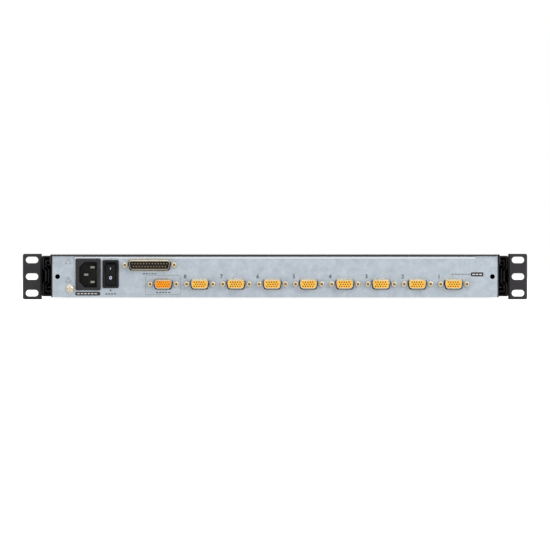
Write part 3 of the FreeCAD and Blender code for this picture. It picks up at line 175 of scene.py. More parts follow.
def polar(outline, count=288):
    """An outline read as a distance from its middle at evenly spaced angles, so that outlines of
    different shapes can be joined."""
    outline = np.asarray(outline, float)
    dense = np.concatenate([outline, outline[:1]])
    share = np.linspace(0, 1, 24, endpoint=False)[None, :, None]
    dense = (dense[:-1, None] * (1 - share) + dense[1:, None] * share).reshape(-1, 2)
    angle = np.arctan2(dense[:, 1], dense[:, 0])
    order = np.argsort(angle)
    angles = np.linspace(-math.pi, math.pi, count, endpoint=False)
    reach = np.interp(angles, angle[order], np.hypot(*dense.T)[order], period=2 * math.pi)
    return np.stack([reach * np.cos(angles), reach * np.sin(angles)], 1)


def stack(outlines, heights):
    """Rings: each outline at its own height, as an array of rows x points x 3 (u, v, height)."""
    rows = [np.column_stack([outline, np.full(len(outline), height)])
            for outline, height in zip(outlines, heights)]
    return np.array(rows)


def skin(rings, closed=False):
    """Vertices and faces of a lofted skin. closed joins the last ring to the first, as on a tube
    with a wall; otherwise both ends get a flat cap."""
    rows, count = rings.shape[:2]
    index = np.arange(rows * count).reshape(rows, count)
    low = index if closed else index[:-1]
    high = np.roll(index, -1, axis=0) if closed else index[1:]
    corners = [low, np.roll(low, -1, axis=1), np.roll(high, -1, axis=1), high]
    faces = np.stack(corners, -1).reshape(-1, 4).tolist()
    if not closed:
        faces += [index[0, ::-1].tolist(), index[-1].tolist()]
    return rings.reshape(-1, 3), faces


def lofted(profile, closed=False):
    """A skin through (outline, height) pairs in mm."""
    outlines, heights = zip(*profile)
    return skin(stack(np.array(outlines) * MM, np.array(heights) * MM), closed)


def flat_ring(inner, outer, low, high):
    """The skin of a flat ring between two outlines, from one height to another."""
    return skin(stack([inner, outer, outer, inner], [low, low, high, high]), closed=True)


def outward(vertices, faces):
    """Turns all faces over if the closed skin encloses a negative volume."""
    fans = [(f[0], f[i], f[i + 1]) for f in faces for i in range(1, len(f) - 1)]
    a, b, c = (vertices[np.array(fans)[:, k]] for k in range(3))
    volume = np.einsum("ij,ij->i", a, np.cross(b, c)).sum()
    return faces if volume > 0 else [f[::-1] for f in faces]


AXES = {
    "rear": np.array([(-1, 0, 0), (0, 0, 1), (0, 1, 0)], float),
    "front": np.array([(1, 0, 0), (0, 0, 1), (0, -1, 0)], float),
    "up": np.array([(1, 0, 0), (0, 1, 0), (0, 0, 1)], float),
    "down": np.array([(1, 0, 0), (0, -1, 0), (0, 0, -1)], float),
    "right": np.array([(0, 1, 0), (0, 0, 1), (1, 0, 0)], float),
    "left": np.array([(0, -1, 0), (0, 0, 1), (-1, 0, 0)], float),
}


def placed(part, facing, place):
    """A skin whose (u, v, height) run along the axes of a face, moved to its place."""
    vertices, faces = part
    vertices = vertices @ AXES[facing] + np.asarray(place, float)
    return vertices, outward(vertices, faces)


def joined(parts):
    """Several skins as one set of vertices and faces."""
    vertices, faces, start = [], [], 0
    for part_vertices, part_faces in parts:
        vertices.append(part_vertices)
        faces += [[i + start for i in f] for f in part_faces]
        start += len(part_vertices)
    return np.concatenate(vertices), faces


made = []


def piece(name, parts, body, slot, material, stands_for=(), smooth=35):
    """A finished piece: one object from several skins, riding on a body.

    Faces are shaded smooth except across edges sharper than smooth degrees."""
    vertices, faces = joined(parts)
    mesh = bpy.data.meshes.new(name)
    mesh.from_pydata(vertices.tolist(), [], faces)
    mesh.validate()
    mesh.polygons.foreach_set("use_smooth", np.ones(len(mesh.polygons), bool))
    mesh.set_sharp_from_angle(angle=math.radians(smooth))
    mesh.materials.append(material)
    obj = bpy.data.objects.new(name, mesh)
    scene.collection.objects.link(obj)
    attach(obj, body)
    if stands_for:
        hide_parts(*stands_for)
    made.append((name, len(mesh.polygons)))
    return obj


# %% [markdown]
# ## Finishes
# Real finishes are never one colour. Each one below mixes two close tones with a slow noise, lets
# the same noise move the roughness a little, and adds a fine bump at the scale of the real grain:
# tenths of a millimetre for powder coat, long streaks for rolled steel.
#
# Two small options carry much of the look, and both paint shade into the colour. The option for
# recesses gives everything deeper than a level another tone, a painted shade, so contact holes read
# as dark dots. `shade` is the tone of faces that turn sideways or down: bright metal in a room lit
# from above is pale on top and dark at its flanks, and here that shade is painted.

# %% The node builder
def finish(name, tone, second, patch=30.0, stretch=(1, 1, 1), metallic=0.0, rough=(0.4, 0.5),
           specular=0.5, grain=0.2, depth=0.004, coat=0.0, glow=0.0, recess_shade=None, shade=None,
           lace=(4, 0.5)):
    """A procedural finish. patch is the size of its tone changes and grain that of its bump, in
    mm; depth is the bump's height in mm; stretch lengthens the pattern along an axis where it is
    small. The recess option is a level along Y in mm and a tone of painted shade for faces deeper
    than it; shade is the painted shade tone of flanks and undersides. lace is how many finer layers
    the tone changes have, and how strong each is."""
    material = bpy.data.materials.new(name)
    material.use_nodes = True
    tree = material.node_tree
    link = tree.links.new
    shader = tree.nodes["Principled BSDF"]
    for socket, value in (("Metallic", metallic), ("Coat Weight", coat),
                          ("Specular IOR Level", specular), ("Emission Color", (1, 1, 1, 1)),
                          ("Emission Strength", glow)):
        shader.inputs[socket].default_value = value

    def add(kind, **values):
        """A new node with values on its sockets."""
        node = tree.nodes.new("ShaderNode" + kind)
        for socket, value in values.items():
            node.inputs[socket].default_value = value
        return node

    where = add("TexCoord")
    mapping = add("Mapping", Scale=stretch)
    link(where.outputs["Object"], mapping.inputs["Vector"])
    slow = add("TexNoise", Scale=1 / (patch * MM), Detail=lace[0], Roughness=lace[1])
    link(mapping.outputs["Vector"], slow.inputs["Vector"])
    ramp = add("ValToRGB")
    for stop, place, value in zip(ramp.color_ramp.elements, (0.3, 0.7), (tone, second)):
        stop.position, stop.color = place, (*value, 1)
    link(slow.outputs["Fac"], ramp.inputs["Fac"])
    colour = ramp.outputs["Color"]

    def choose(factor, other):
        """The colour so far where factor is 0, other where it is 1."""
        mix = add("Mix")
        mix.data_type = "RGBA"
        mix.inputs["B"].default_value = (*other, 1)
        link(factor, mix.inputs["Factor"])
        link(colour, mix.inputs["A"])
        return mix.outputs["Result"]

    def maths(operation, *values, clamp=False):
        """A math node's output. Each value is a number or another node's output."""
        node = add("Math")
        node.operation, node.use_clamp = operation, clamp
        for socket, value in zip(node.inputs, values):
            if isinstance(value, float):
                socket.default_value = value
            else:
                link(value, socket)
        return node.outputs[0]

    if shade is not None:
        # Painted shade: darkness = 0.2 + |x of the normal| - 0.6 (z of the normal), held between 0
        # and 1.
        normal = add("SeparateXYZ")
        link(where.outputs["Normal"], normal.inputs["Vector"])
        aside = maths("ABSOLUTE", normal.outputs["X"])
        down = maths("MULTIPLY_ADD", normal.outputs["Z"], -0.6, 0.2)
        colour = choose(maths("ADD", aside, down, clamp=True), shade)
    # Painted shade in recesses: faces deeper than the level get the darker tone.
    if recess_shade is not None:
        level, recess_shade_tone = recess_shade
        place = add("SeparateXYZ")
        link(where.outputs["Object"], place.inputs["Vector"])
        colour = choose(maths("LESS_THAN", place.outputs["Y"], float(level * MM)), recess_shade_tone)
    link(colour, shader.inputs["Base Color"])

    spread = add("MapRange")
    spread.inputs["To Min"].default_value, spread.inputs["To Max"].default_value = rough
    link(slow.outputs["Fac"], spread.inputs["Value"])
    link(spread.outputs["Result"], shader.inputs["Roughness"])

    fine = add("TexNoise", Scale=1 / (grain * MM), Detail=2)
    link(mapping.outputs["Vector"], fine.inputs["Vector"])
    bump = add("Bump", Strength=0.6, Distance=depth * MM)
    link(fine.outputs["Fac"], bump.inputs["Height"])
    link(bump.outputs["Normal"], shader.inputs["Normal"])
    return material


def srgb(red, green, blue):
    """A colour given as it looks on a screen, 0 to 255, in the linear values that shaders use."""
    value = np.array([red, green, blue]) / 255
    return tuple(np.where(value <= 0.04045, value / 12.92, ((value + 0.055) / 1.055) ** 2.4))


def ink(name, tone, second, rough=(0.5, 0.6), specular=0.3):
    """A printed ink, which lies flat and has hardly any grain."""
    return finish(name, tone, second, patch=2, rough=rough, specular=specular)


# %% Metals
port_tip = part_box("kvm_port_1")[1].y / MM
ZINC = finish(
    "zinc_plate", srgb(174, 182, 190), srgb(146, 155, 163), patch=9, metallic=0.55,
    rough=(0.36, 0.5), grain=0.5, depth=0.01, lace=(10, 0.72))
# A lighter zinc than the panel's: a painted highlight on the fold along the panel's top.
HEM_HIGHLIGHT_ZINC = finish(
    "folded_zinc_highlight", srgb(206, 210, 215), srgb(190, 196, 202), patch=25, stretch=(0.1, 1, 1),
    metallic=0.5, rough=(0.25, 0.35), grain=0.5, depth=0.006)
SHELL_PLATE = finish(
    "shell_plate", srgb(236, 228, 208), srgb(216, 206, 182), patch=3, metallic=0.85,
    rough=(0.2, 0.34), grain=0.3, shade=srgb(72, 60, 44))
NICKEL = finish(
    "nickel_plate", srgb(196, 197, 198), srgb(176, 177, 179), patch=4, metallic=0.9,
    rough=(0.18, 0.3), grain=0.3)
YELLOW_ZINC = finish(
    "yellow_zinc", srgb(236, 226, 202), srgb(210, 197, 166), patch=2, metallic=0.85,
    rough=(0.25, 0.4), shade=srgb(150, 132, 102))
# Painted shade: the tone of a dark disc set down each jack screw's bore.
BORE_SHADE_TONE = finish(
    "bore_shadow", srgb(160, 132, 92), srgb(134, 108, 72), patch=1.5, metallic=0.4,
    rough=(0.5, 0.6))
DARK_ZINC = finish(
    "dark_zinc", srgb(56, 53, 53), srgb(38, 36, 36), patch=18, stretch=(1, 0.05, 1), metallic=0.7,
    rough=(0.35, 0.5), specular=0.3, grain=0.5, depth=0.008)
POWDER = finish(
    "black_powder_coat", srgb(31, 30, 32), srgb(27, 26, 28), patch=40, rough=(0.5, 0.62),
    specular=0.28, grain=0.55, depth=0.05)
EAR_POWDER = finish(
    "ear_powder_coat", srgb(36, 33, 36), srgb(28, 26, 29), patch=14, rough=(0.45, 0.58),
    specular=0.28, grain=0.5, depth=0.05)
SCREW_ZINC = finish(
    "screw_zinc", srgb(206, 204, 198), srgb(176, 174, 168), patch=1.5, metallic=0.9,
    rough=(0.25, 0.42), depth=0.005)
GOLD = finish(
    "gold_plate", srgb(168, 144, 100), srgb(132, 110, 72), patch=1.5, metallic=0.9,
    rough=(0.25, 0.36), depth=0.002)
TIN = finish(
    "tin_plate", srgb(142, 139, 128), srgb(104, 101, 93), patch=2, metallic=0.8, rough=(0.35, 0.5),
    grain=0.3)
HINGE_STEEL = finish(
    "hinge_steel", srgb(104, 104, 106), srgb(90, 90, 92), patch=6, stretch=(1, 0.3, 1),
    metallic=0.85, rough=(0.3, 0.42), grain=0.4, depth=0.008)
GROUND_ZINC = finish(
    "ground_zinc", srgb(246, 240, 226), srgb(222, 214, 194), patch=1.5, metallic=0.7,
    rough=(0.2, 0.34), depth=0.005, shade=srgb(146, 130, 104))

# %% Inks
WHITE_INK = ink("white_ink", srgb(226, 226, 222), srgb(212, 212, 208), specular=0.5)
DARK_INK = ink("dark_ink", srgb(40, 38, 42), srgb(50, 48, 52))
GREY_INK = ink("grey_ink", srgb(120, 124, 130), srgb(108, 112, 118))
NUMBER_INK = ink("number_ink", srgb(74, 76, 84), srgb(86, 88, 96))
ROCKER_INK = ink("rocker_ink", srgb(176, 182, 200), srgb(160, 166, 184), rough=(0.4, 0.5))

# %% Plastics, rubber, boards and coats
# Below a depth level each insert turns a darker tone, a painted shade: the contact holes read as
# dark dots, and the orange insert's deeper faces as darker orange.
PORT_YELLOW = finish(
    "port_yellow", srgb(224, 172, 66), srgb(212, 156, 52), patch=6, specular=0.25, grain=0.3,
    depth=0.008, recess_shade=(port_tip - 0.36, srgb(88, 52, 12)))
PORT_ORANGE = finish(
    "port_orange", srgb(224, 140, 4), srgb(212, 128, 2), patch=6, specular=0.25, grain=0.3,
    depth=0.008, recess_shade=(port_tip - 0.66, srgb(136, 74, 6)))
BLACK_MOULDED = finish(
    "black_moulding", srgb(34, 32, 35), srgb(26, 25, 27), patch=9, rough=(0.42, 0.55),
    specular=0.26, grain=0.35, depth=0.02)
ROCKER_GLOSS = finish(
    "rocker_gloss", srgb(16, 15, 16), srgb(11, 10, 11), patch=6, rough=(0.3, 0.4), specular=0.13,
    grain=0.4)
SWITCH_BLACK = finish(
    "switch_moulding_black", srgb(22, 20, 22), srgb(17, 16, 17), patch=6, rough=(0.3, 0.42),
    specular=0.18, grain=0.35, depth=0.01)
HANDLE_PLASTIC = finish(
    "handle_moulding", srgb(44, 44, 47), srgb(36, 36, 39), patch=30, rough=(0.48, 0.6),
    specular=0.35, grain=0.45, depth=0.04)
DECK_PAINT = finish(
    "deck_paint", srgb(52, 52, 55), srgb(44, 44, 47), patch=35, rough=(0.45, 0.55), specular=0.35,
    grain=0.4, depth=0.03)
KEY_PLASTIC = finish(
    "key_plastic", srgb(30, 30, 33), srgb(24, 24, 27), patch=8, rough=(0.42, 0.54), specular=0.35,
    grain=0.25, depth=0.015)
BUTTON_GREY = finish(
    "button_grey", srgb(112, 113, 117), srgb(106, 107, 111), patch=12, specular=0.35, grain=0.3,
    depth=0.012)
PAD_SURFACE = finish(
    "touch_surface", srgb(64, 64, 68), srgb(60, 60, 64), patch=20, rough=(0.5, 0.6), specular=0.3,
    grain=0.18, depth=0.012)
SILICONE = finish(
    "silicone", srgb(56, 56, 60), srgb(46, 46, 50), patch=8, rough=(0.5, 0.62), grain=0.5,
    depth=0.01)
SOLDER_MASK = finish(
    "solder_mask", srgb(24, 92, 52), srgb(16, 74, 42), patch=3, rough=(0.3, 0.42), grain=0.6,
    depth=0.02, coat=0.3)
PACKAGES = finish(
    "chip_package", srgb(38, 38, 40), srgb(30, 30, 32), patch=5, rough=(0.45, 0.6), grain=0.25,
    depth=0.015)
# Painted highlight: a pale grey for the strip along the top cover's rear edge.
EDGE_HIGHLIGHT = finish(
    "painted_edge_highlight", srgb(168, 167, 167), srgb(150, 149, 150), patch=20, stretch=(0.2, 1, 1), grain=0.5,
    depth=0.01)
LAMP_GREEN = finish(
    "lamp_green", srgb(70, 190, 90), srgb(50, 168, 72), patch=1, rough=(0.15, 0.2), depth=0.002,
    coat=0.5)
print(len(bpy.data.materials), "finishes")

# %% [markdown]
# ## The screen
# A switched-off LCD is a nearly black sheet with an anti-glare film, which spreads reflections
# and gives back only about one part in a hundred. So the finish is dark, smooth, and weak in
# specular.

# %% Screen finish
SCREEN = finish(
    "screen_glass", srgb(10, 11, 13), srgb(13, 14, 17), patch=60, rough=(0.16, 0.22), specular=0.16,
    grain=0.25, depth=0.001)


# %% [markdown]
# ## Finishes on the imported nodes
# Most sheet and moulded parts already have the right shape, so only their finish changes.

# %% Dress the nodes
def dress(material, names):
    """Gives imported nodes, named in one string, a finish in place of their plain one."""
    for name in names.split():
        for slot in nodes[name].material_slots:
            slot.material = material


ports = [f"kvm_port_{n + 1}" for n in range(8)]
dress(DARK_ZINC, "rail_outer_left rail_outer_right rail_middle_left rail_middle_right "
      "rail_inner_left rail_inner_right ball_cages")
dress(EAR_POWDER, "front_bracket_left front_bracket_right rear_bracket_left rear_bracket_right")
dress(POWDER, "chassis_tray rear_top_cover lcd_cover")
dress(ZINC, "rear_panel")
dress(SHELL_PLATE, " ".join(ports) + " chain_port_shell console_port_shell")
dress(NICKEL, "usb_port hinge_brackets")
dress(SCREW_ZINC, "bracket_screws cover_screws ground_screw")
dress(HINGE_STEEL, "hinge_leaves")
dress(YELLOW_ZINC, "jack_screws")
dress(PORT_YELLOW, "kvm_port_inserts")
dress(PORT_ORANGE, "console_port_insert")
dress(GOLD, "chain_port_pins")
dress(TIN, "inlet_blades")
dress(BLACK_MOULDED, "power_inlet switch_frame chain_port_insert keyboard_base lcd_bezel")
dress(ROCKER_GLOSS, "switch_rocker")
dress(HANDLE_PLASTIC, "front_handle")
dress(DECK_PAINT, "keyboard_deck")
dress(KEY_PLASTIC, "main_keys navigation_keys number_keys")
dress(BUTTON_GREY, "touchpad_button_left touchpad_button_right release_left release_right "
      "lcd_buttons")
dress(PAD_SURFACE, "touchpad")
dress(SILICONE, "rubber_domes")
dress(SCREEN, "lcd_panel")
dress(SOLDER_MASK, "main_board power_board lcd_board")
dress(PACKAGES, "switch_chips power_parts")

# %% [markdown]
# ## Port shells
# A D-connector's shell is one stamping: a flat flange behind the panel, a flared foot that fills
# the cut-out, and the D that guides the plug. Spinning or extruding would leave hard edges, so
# the shell is a closed loft: its rings run out along the outside, over the rolled rim and back
# down the bore.

# %% Levels of the panel, and what a node's box tells
SHELL_PROUD = 5.8
TAB_STEP = 0.3
FLANGE = 0.8
panel_low, panel_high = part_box("rear_panel")
shell_low, shell_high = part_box("kvm_port_1")
flange_back = shell_low.y / MM
shell_tip = shell_high.y / MM
panel_back = flange_back + FLANGE
panel_face = shell_tip - SHELL_PROUD
face_y = panel_face * MM
tab_face = (panel_face - TAB_STEP) * MM
slots = {item["node"]: item["material_slot"] for item in frame["record"]["subparts"]}


def node_slot(node):
    """The record's material slot of a node."""
    return slots[node]


def middle(node):
    """X and Z of a node's centre, in metres."""
    low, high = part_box(node)
    return (low.x + high.x) / 2, (low.z + high.z) / 2


def face_size(node):
    """A node's width and height seen from behind, in mm."""
    low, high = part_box(node)
    return (high.x - low.x) / MM, (high.z - low.z) / MM


print("panel face at", round(panel_face, 2), "mm")

# %% Port shell rings
SMALL_PORT = dict(long=17.5, tall=8.4, flare=(19.6, 10.6), span=24.99, lip=0.3)
LARGE_PORT = dict(long=39.8, tall=8.6, flare=(42.2, 10.8), span=47.04, lip=0.0)
WALL = 0.5
TUBE_CORNER = 2.6
FLARE_CORNER = 3.0
FLARE_SHOULDER = 0.9
sockets = dict.fromkeys(ports + ["console_port_shell"], SMALL_PORT)
sockets["chain_port_shell"] = LARGE_PORT


def port_shell(node, kind):
    """A plated shell as a closed loft of rings, in mm about the port's centre."""
    flare_long, flare_deep = kind["flare"]
    lip = kind["lip"]
    flange = rectangle(*face_size(node), 0.8, 6)

    def tube(inset):
        """The D that guides the plug, moved in from its outer face."""
        return dee(kind["long"] - 2 * inset, kind["tall"] - 2 * inset, TUBE_CORNER - inset)

    def flare(inset):
        """The foot that fills the panel's cut-out."""
        return dee(flare_long - 2 * inset, flare_deep - 2 * inset, FLARE_CORNER - inset)

    def skirt(share):
        """From the flare's shoulder, share 0, to the tube, share 1."""
        edge = dee(flare_long - FLARE_SHOULDER, flare_deep - FLARE_SHOULDER, TUBE_CORNER)
        return edge * (1 - share) + tube(-0.05) * share

    profile = [
        (tube(WALL), flange_back), (flange, flange_back), (flange, panel_back),
        (flare(0), panel_back), (flare(0), panel_face + 0.04), (flare(0.1), panel_face + 0.16),
        (skirt(0), panel_face + 0.5), (skirt(0.6), panel_face + 1.0),
        (skirt(0.9), panel_face + 1.7), (skirt(1), panel_face + 2.6),
        (tube(0), shell_tip - 0.4), (tube(0.06), shell_tip - 0.16), (tube(0.2), shell_tip - 0.02),
        (tube(0.36), shell_tip), (tube(WALL + 0.8 * lip), shell_tip - 0.04),
        (tube(WALL + lip), shell_tip - 0.14), (tube(WALL), shell_tip - 0.26),
    ]
    x, z = middle(node)
    return placed(lofted(profile, closed=True), "rear", (x, 0, z))


for node, kind in sockets.items():
    piece(node.removesuffix("_shell") + "_stamping", [port_shell(node, kind)], "drawer",
          "plated_steel", SHELL_PLATE, [node])
print(made[-1])

# %% [markdown]
# ## Shade at the contact mouths
# Each contact hole in a port's face gets a flat ring of painted shade round its mouth, darker than
# the plastic around it, so that the hole reads as a larger dark dot. The holes stand in three rows,
# and the middle row is shifted by half a pitch: x = shift + (n - (count - 1) / 2) pitch.

# %% Rings round the contact holes
CONTACTS = 5
CONTACT_PITCH = 2.29
CONTACT_ROWS = ((0.6, 1.98), (-0.6, 0.0), (0.6, -1.98))
MOUTH_OUTER, MOUTH_INNER = 0.7, 0.42
MOUTH_BACK, MOUTH_FRONT = (shell_tip - 0.32) * MM, (shell_tip - 0.28) * MM
# Painted shade: the tone of the flat rings round the contact holes.
CONTACT_SHADE = finish(
    "painted_hole_shade", srgb(124, 78, 22), srgb(104, 62, 16), patch=1.5, rough=(0.5, 0.6),
    specular=0.2)


def contact_hole_shade_rings(x, z):
    """The rings of painted shade of one port about its centre, in metres. A row has its shift and
    height in mm, and a square with corners as round as its half width is a circle."""
    outer, inner = (polar(rectangle(2 * r, 2 * r, r * 0.98), 12) * MM
                    for r in (MOUTH_OUTER, MOUTH_INNER))
    ring = flat_ring(inner, outer, MOUTH_BACK, MOUTH_FRONT)
    return [placed(ring, "rear", (x + (shift + (n - (CONTACTS - 1) / 2) * CONTACT_PITCH) * MM, 0,
                                  z + height * MM))
            for shift, height in CONTACT_ROWS for n in range(CONTACTS)]


hole_shade_rings = [ring for node in ports for ring in contact_hole_shade_rings(*middle(node))]
piece("contact_hole_shade_rings", hole_shade_rings, "drawer", node_slot("kvm_port_inserts"), CONTACT_SHADE)
print(len(hole_shade_rings), "contact mouths")

# %% [markdown]
# ## Jack screws
# Two hexagonal standoffs hold each connector and take the plug's thumb screws. The hexagon is a
# radius that depends on the angle; its chamfered tip is the smaller of that and a cone, and the
# thread in its bore is a radius that rises by one pitch for each turn.

# %% Hexagons with threaded bores
HEX_FLATS = 4.75
HEX_OUT = 4.8
BORE = 1.3
BORE_DEEP = 3.9
BORE_SHADE_DEPTH = 1.6
THREAD_PITCH = 0.64
THREAD_HIGH = 0.14


def screw_places():
    """X and Z of every jack screw, two beside each port, in metres."""
    for node, kind in sockets.items():
        x, z = middle(node)
        for side in (-1, 1):
            yield x + side * kind["span"] / 2 * MM, z


def hexagon_screw(x, z):
    """One jack screw at a place on the panel, in metres."""
    angle = np.linspace(0, 2 * math.pi, 36, endpoint=False)
    flat_angle = (angle + math.pi / 6) % (math.pi / 3) - math.pi / 6
    hexagon = HEX_FLATS / 2 / np.cos(flat_angle)
    height = np.array([0, HEX_OUT - 0.55, HEX_OUT - 0.35, HEX_OUT - 0.12, HEX_OUT])
    cone = HEX_FLATS / 2 + np.array([9, 0.35, 0.12, -0.1, -0.35])
    outside = np.minimum(hexagon[None, :], cone[:, None])
    depth = np.linspace(0.0, BORE_DEEP, 19)
    turn = (depth[:, None] / THREAD_PITCH + angle[None, :] / (2 * math.pi)) % 1
    countersink = 0.25 * np.maximum(0, 0.4 - depth[:, None])
    inside = BORE + THREAD_HIGH * np.abs(2 * turn - 1) - 0.1 + countersink
    reach = np.concatenate([outside, inside])
    level = panel_face + np.concatenate([height, HEX_OUT - depth])
    level = np.broadcast_to(level[:, None], reach.shape)
    rings = np.stack([reach * np.cos(angle), reach * np.sin(angle), level], -1)
    return placed(skin(rings * MM), "rear", (x, 0, z))


screws = [hexagon_screw(x, z) for x, z in screw_places()]
piece("jack_screw_hexagons", screws, "drawer", "jack_steel", YELLOW_ZINC, ["jack_screws"],
      smooth=28)


def bore_shade_disc(x, z):
    """A dark disc of painted shade a little way down a jack screw's bore, in metres."""
    outline = polar(rectangle(2.3, 2.3, 1.14), 20) * MM
    place = (x, (panel_face + HEX_OUT - BORE_SHADE_DEPTH) * MM, z)
    return placed(skin(stack([outline, outline], [0, 0.4 * MM])), "rear", place)


bore_shades = [bore_shade_disc(x, z) for x, z in screw_places()]
piece("jack_screw_bore_shade", bore_shades, "drawer", "jack_steel", BORE_SHADE_TONE)
print(len(screws), "jack screws,", made[-1][1], "faces")

# %% [markdown]
# ## Power inlet
# The inlet's moulding has a rounded rectangular flange around a socket with two cut corners. The
# outlines differ in shape, so both are read as a distance at the same 288 angles before they are
# joined, from the back of the body to the flange's edge, over the rim and down into the socket.

# %% Flanged mouldings
RIM_CORNER = 1.4


def moulding(node, body, rim, opening, sink):
    """A flanged moulding with an opening as one skin, in metres.

    body is how much narrower the body is than the flange, and its corner radius; rim lists
    (inset, depth below the front) over the flange's edge, and sink the same down the opening."""
    low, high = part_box(node)
    wide, tall = face_size(node)
    narrower, corner = body
    front = high.y / MM

    def flange(inset):
        return polar(rectangle(wide - 2 * inset, tall - 2 * inset, max(RIM_CORNER - inset, 0.8)))

    behind = polar(rectangle(wide - narrower, tall - narrower, corner))
    profile = [(behind, low.y / MM), (behind, panel_face), (flange(0), panel_face)]
    profile += [(flange(inset), front - down) for inset, down in rim]
    profile += [(opening(inset), front - down) for inset, down in sink]
    x, z = middle(node)
    return placed(lofted(profile), "rear", (x, 0, z))


# %% Inlet moulding
SOCKET = dict(wide=16.6, tall=24.2, cut=5.0, deep=16.0)


def socket_outline(inset):
    """The socket's mouth with two cut corners; u runs towards the left side of the rack."""
    wide, tall, cut = SOCKET["wide"] / 2 - inset, SOCKET["tall"] / 2 - inset, SOCKET["cut"]
    corners = [(-wide, -tall + cut), (-wide + cut, -tall), (wide, -tall), (wide, tall),
               (-wide + cut, tall), (-wide, tall - cut)]
    return polar(corners_cut(corners, 0.8, 4))


inlet = moulding("power_inlet", (3, 1.0), ((0, 0.8), (0.12, 0.35), (0.5, 0.08), (1.0, 0)),
                 socket_outline, ((-0.9, 0), (-0.35, 0.12), (0, 0.6), (0, SOCKET["deep"])))
piece("inlet_moulding", [inlet], "drawer", "black_plastic", BLACK_MOULDED, ["power_inlet"])

# %% [markdown]
# ## Power switch
# The frame is the same kind of moulding, round a plain window. The rocker is a bar whose section
# in the YZ plane is a shallow V with rounded ends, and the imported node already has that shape.

# %% Switch frame
WINDOW = dict(wide=9.8, tall=21.6, corner=0.5, deep=9.6)


def window_outline(inset):
    """The switch's window, moved in by inset mm."""
    return polar(rectangle(WINDOW["wide"] - 2 * inset, WINDOW["tall"] - 2 * inset,
                           WINDOW["corner"] - inset))


switch = moulding("switch_frame", (2.2, 0.6), ((0, 0.6), (0.15, 0.2), (0.6, 0)),
                  window_outline, ((-0.5, 0), (-0.1, 0.25), (0, 0.7), (0, WINDOW["deep"])))
piece("switch_moulding", [switch], "drawer", "black_plastic", SWITCH_BLACK, ["switch_frame"])
print(made[-2:])

# %% [markdown]
# ## Printing on the panel
# Ink is a few hundredths of a millimetre thick. Numbers come from Blender's own font as flat text
# with a little depth; frames and dots are thin lofts. All of it sits on the panel's face.

# %% Ink helpers
INK = 0.03
SIZE_FOR_CAPITALS = 1.4


def lettering(words, size, facing, place, depth=INK, bold=0.06):
    """Vertices and faces of centred text that stands depth mm proud of a face. size is its height
    in mm and bold is how far its strokes are widened to each side."""
    curve = bpy.data.curves.new("words", "FONT")
    curve.body = words
    curve.size = size * SIZE_FOR_CAPITALS * MM
    curve.extrude = depth / 2 * MM
    curve.offset = bold * MM
    curve.resolution_u = 2
    curve.align_x, curve.align_y = "CENTER", "CENTER"
    holder = bpy.data.objects.new("words", curve)
    scene.collection.objects.link(holder)
    bpy.context.view_layer.update()
    final = holder.evaluated_get(bpy.context.evaluated_depsgraph_get())
    mesh = bpy.data.meshes.new_from_object(final)
    flat = np.zeros(len(mesh.vertices) * 3)
    mesh.vertices.foreach_get("co", flat)
    faces = [list(p.vertices) for p in mesh.polygons]
    bpy.data.objects.remove(holder)
    bpy.data.meshes.remove(mesh)
    bpy.data.curves.remove(curve)
    vertices = flat.reshape(-1, 3) + (0, 0, depth / 2 * MM)
    return vertices @ AXES[facing] + np.asarray(place, float), faces


def printed_patch(wide, tall, radius, facing, place):
    """A solid printed patch, sizes in mm."""
    outline = rectangle(wide, tall, radius) * MM
    return placed(skin(stack([outline, outline], [0, INK * MM])), facing, place)


def printed_frame(wide, tall, radius, line, facing, place):
    """A printed outline of a given line width, sizes in mm."""
    outer = rectangle(wide, tall, radius) * MM
    inner = rectangle(wide - 2 * line, tall - 2 * line, max(radius - line, 0.1)) * MM
    return placed(flat_ring(inner, outer, 0, INK * MM), facing, place)


# %% Places of the marks on the rear panel
NUMBER_AT = (13.9, 7.2)
NUMBER_TALL, NUMBER_BOLD = 3.8, 0.18
BADGE_X, BADGE_Z, CAPTION_X = -192.8 * MM, 2.1 * MM, -177.3 * MM
RATING_Z = panel_low.z + 3.6 * MM
LINE_PITCH = 3.3
TAB_X = 197.3
inlet_x, _ = middle("power_inlet")
switch_x, switch_z = middle("switch_frame")
frame_low, frame_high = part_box("switch_frame")
console_x, console_z = middle("console_port_shell")
chain_x, chain_z = middle("chain_port_shell")


def ink_patch(wide, tall, radius, x, z, proud=0.0):
    """A printed patch on the panel's face, or on other ink when proud is INK."""
    return printed_patch(wide, tall, radius, "rear", (x, face_y + proud * MM, z))


def dashes(count, pitch, wide, tall, x, z):
    """A centred row of dashes that stands for a caption."""
    return [ink_patch(wide, tall, 0.2, x + (k - (count - 1) / 2) * pitch * MM, z)
            for k in range(count)]


# %% Marks on the rear panel
numbers = []
for n, node in enumerate(ports):
    x, z = middle(node)
    place = (x + NUMBER_AT[0] * MM, face_y, z + NUMBER_AT[1] * MM)
    numbers.append(lettering(str(n + 1), NUMBER_TALL, "rear", place, bold=NUMBER_BOLD))

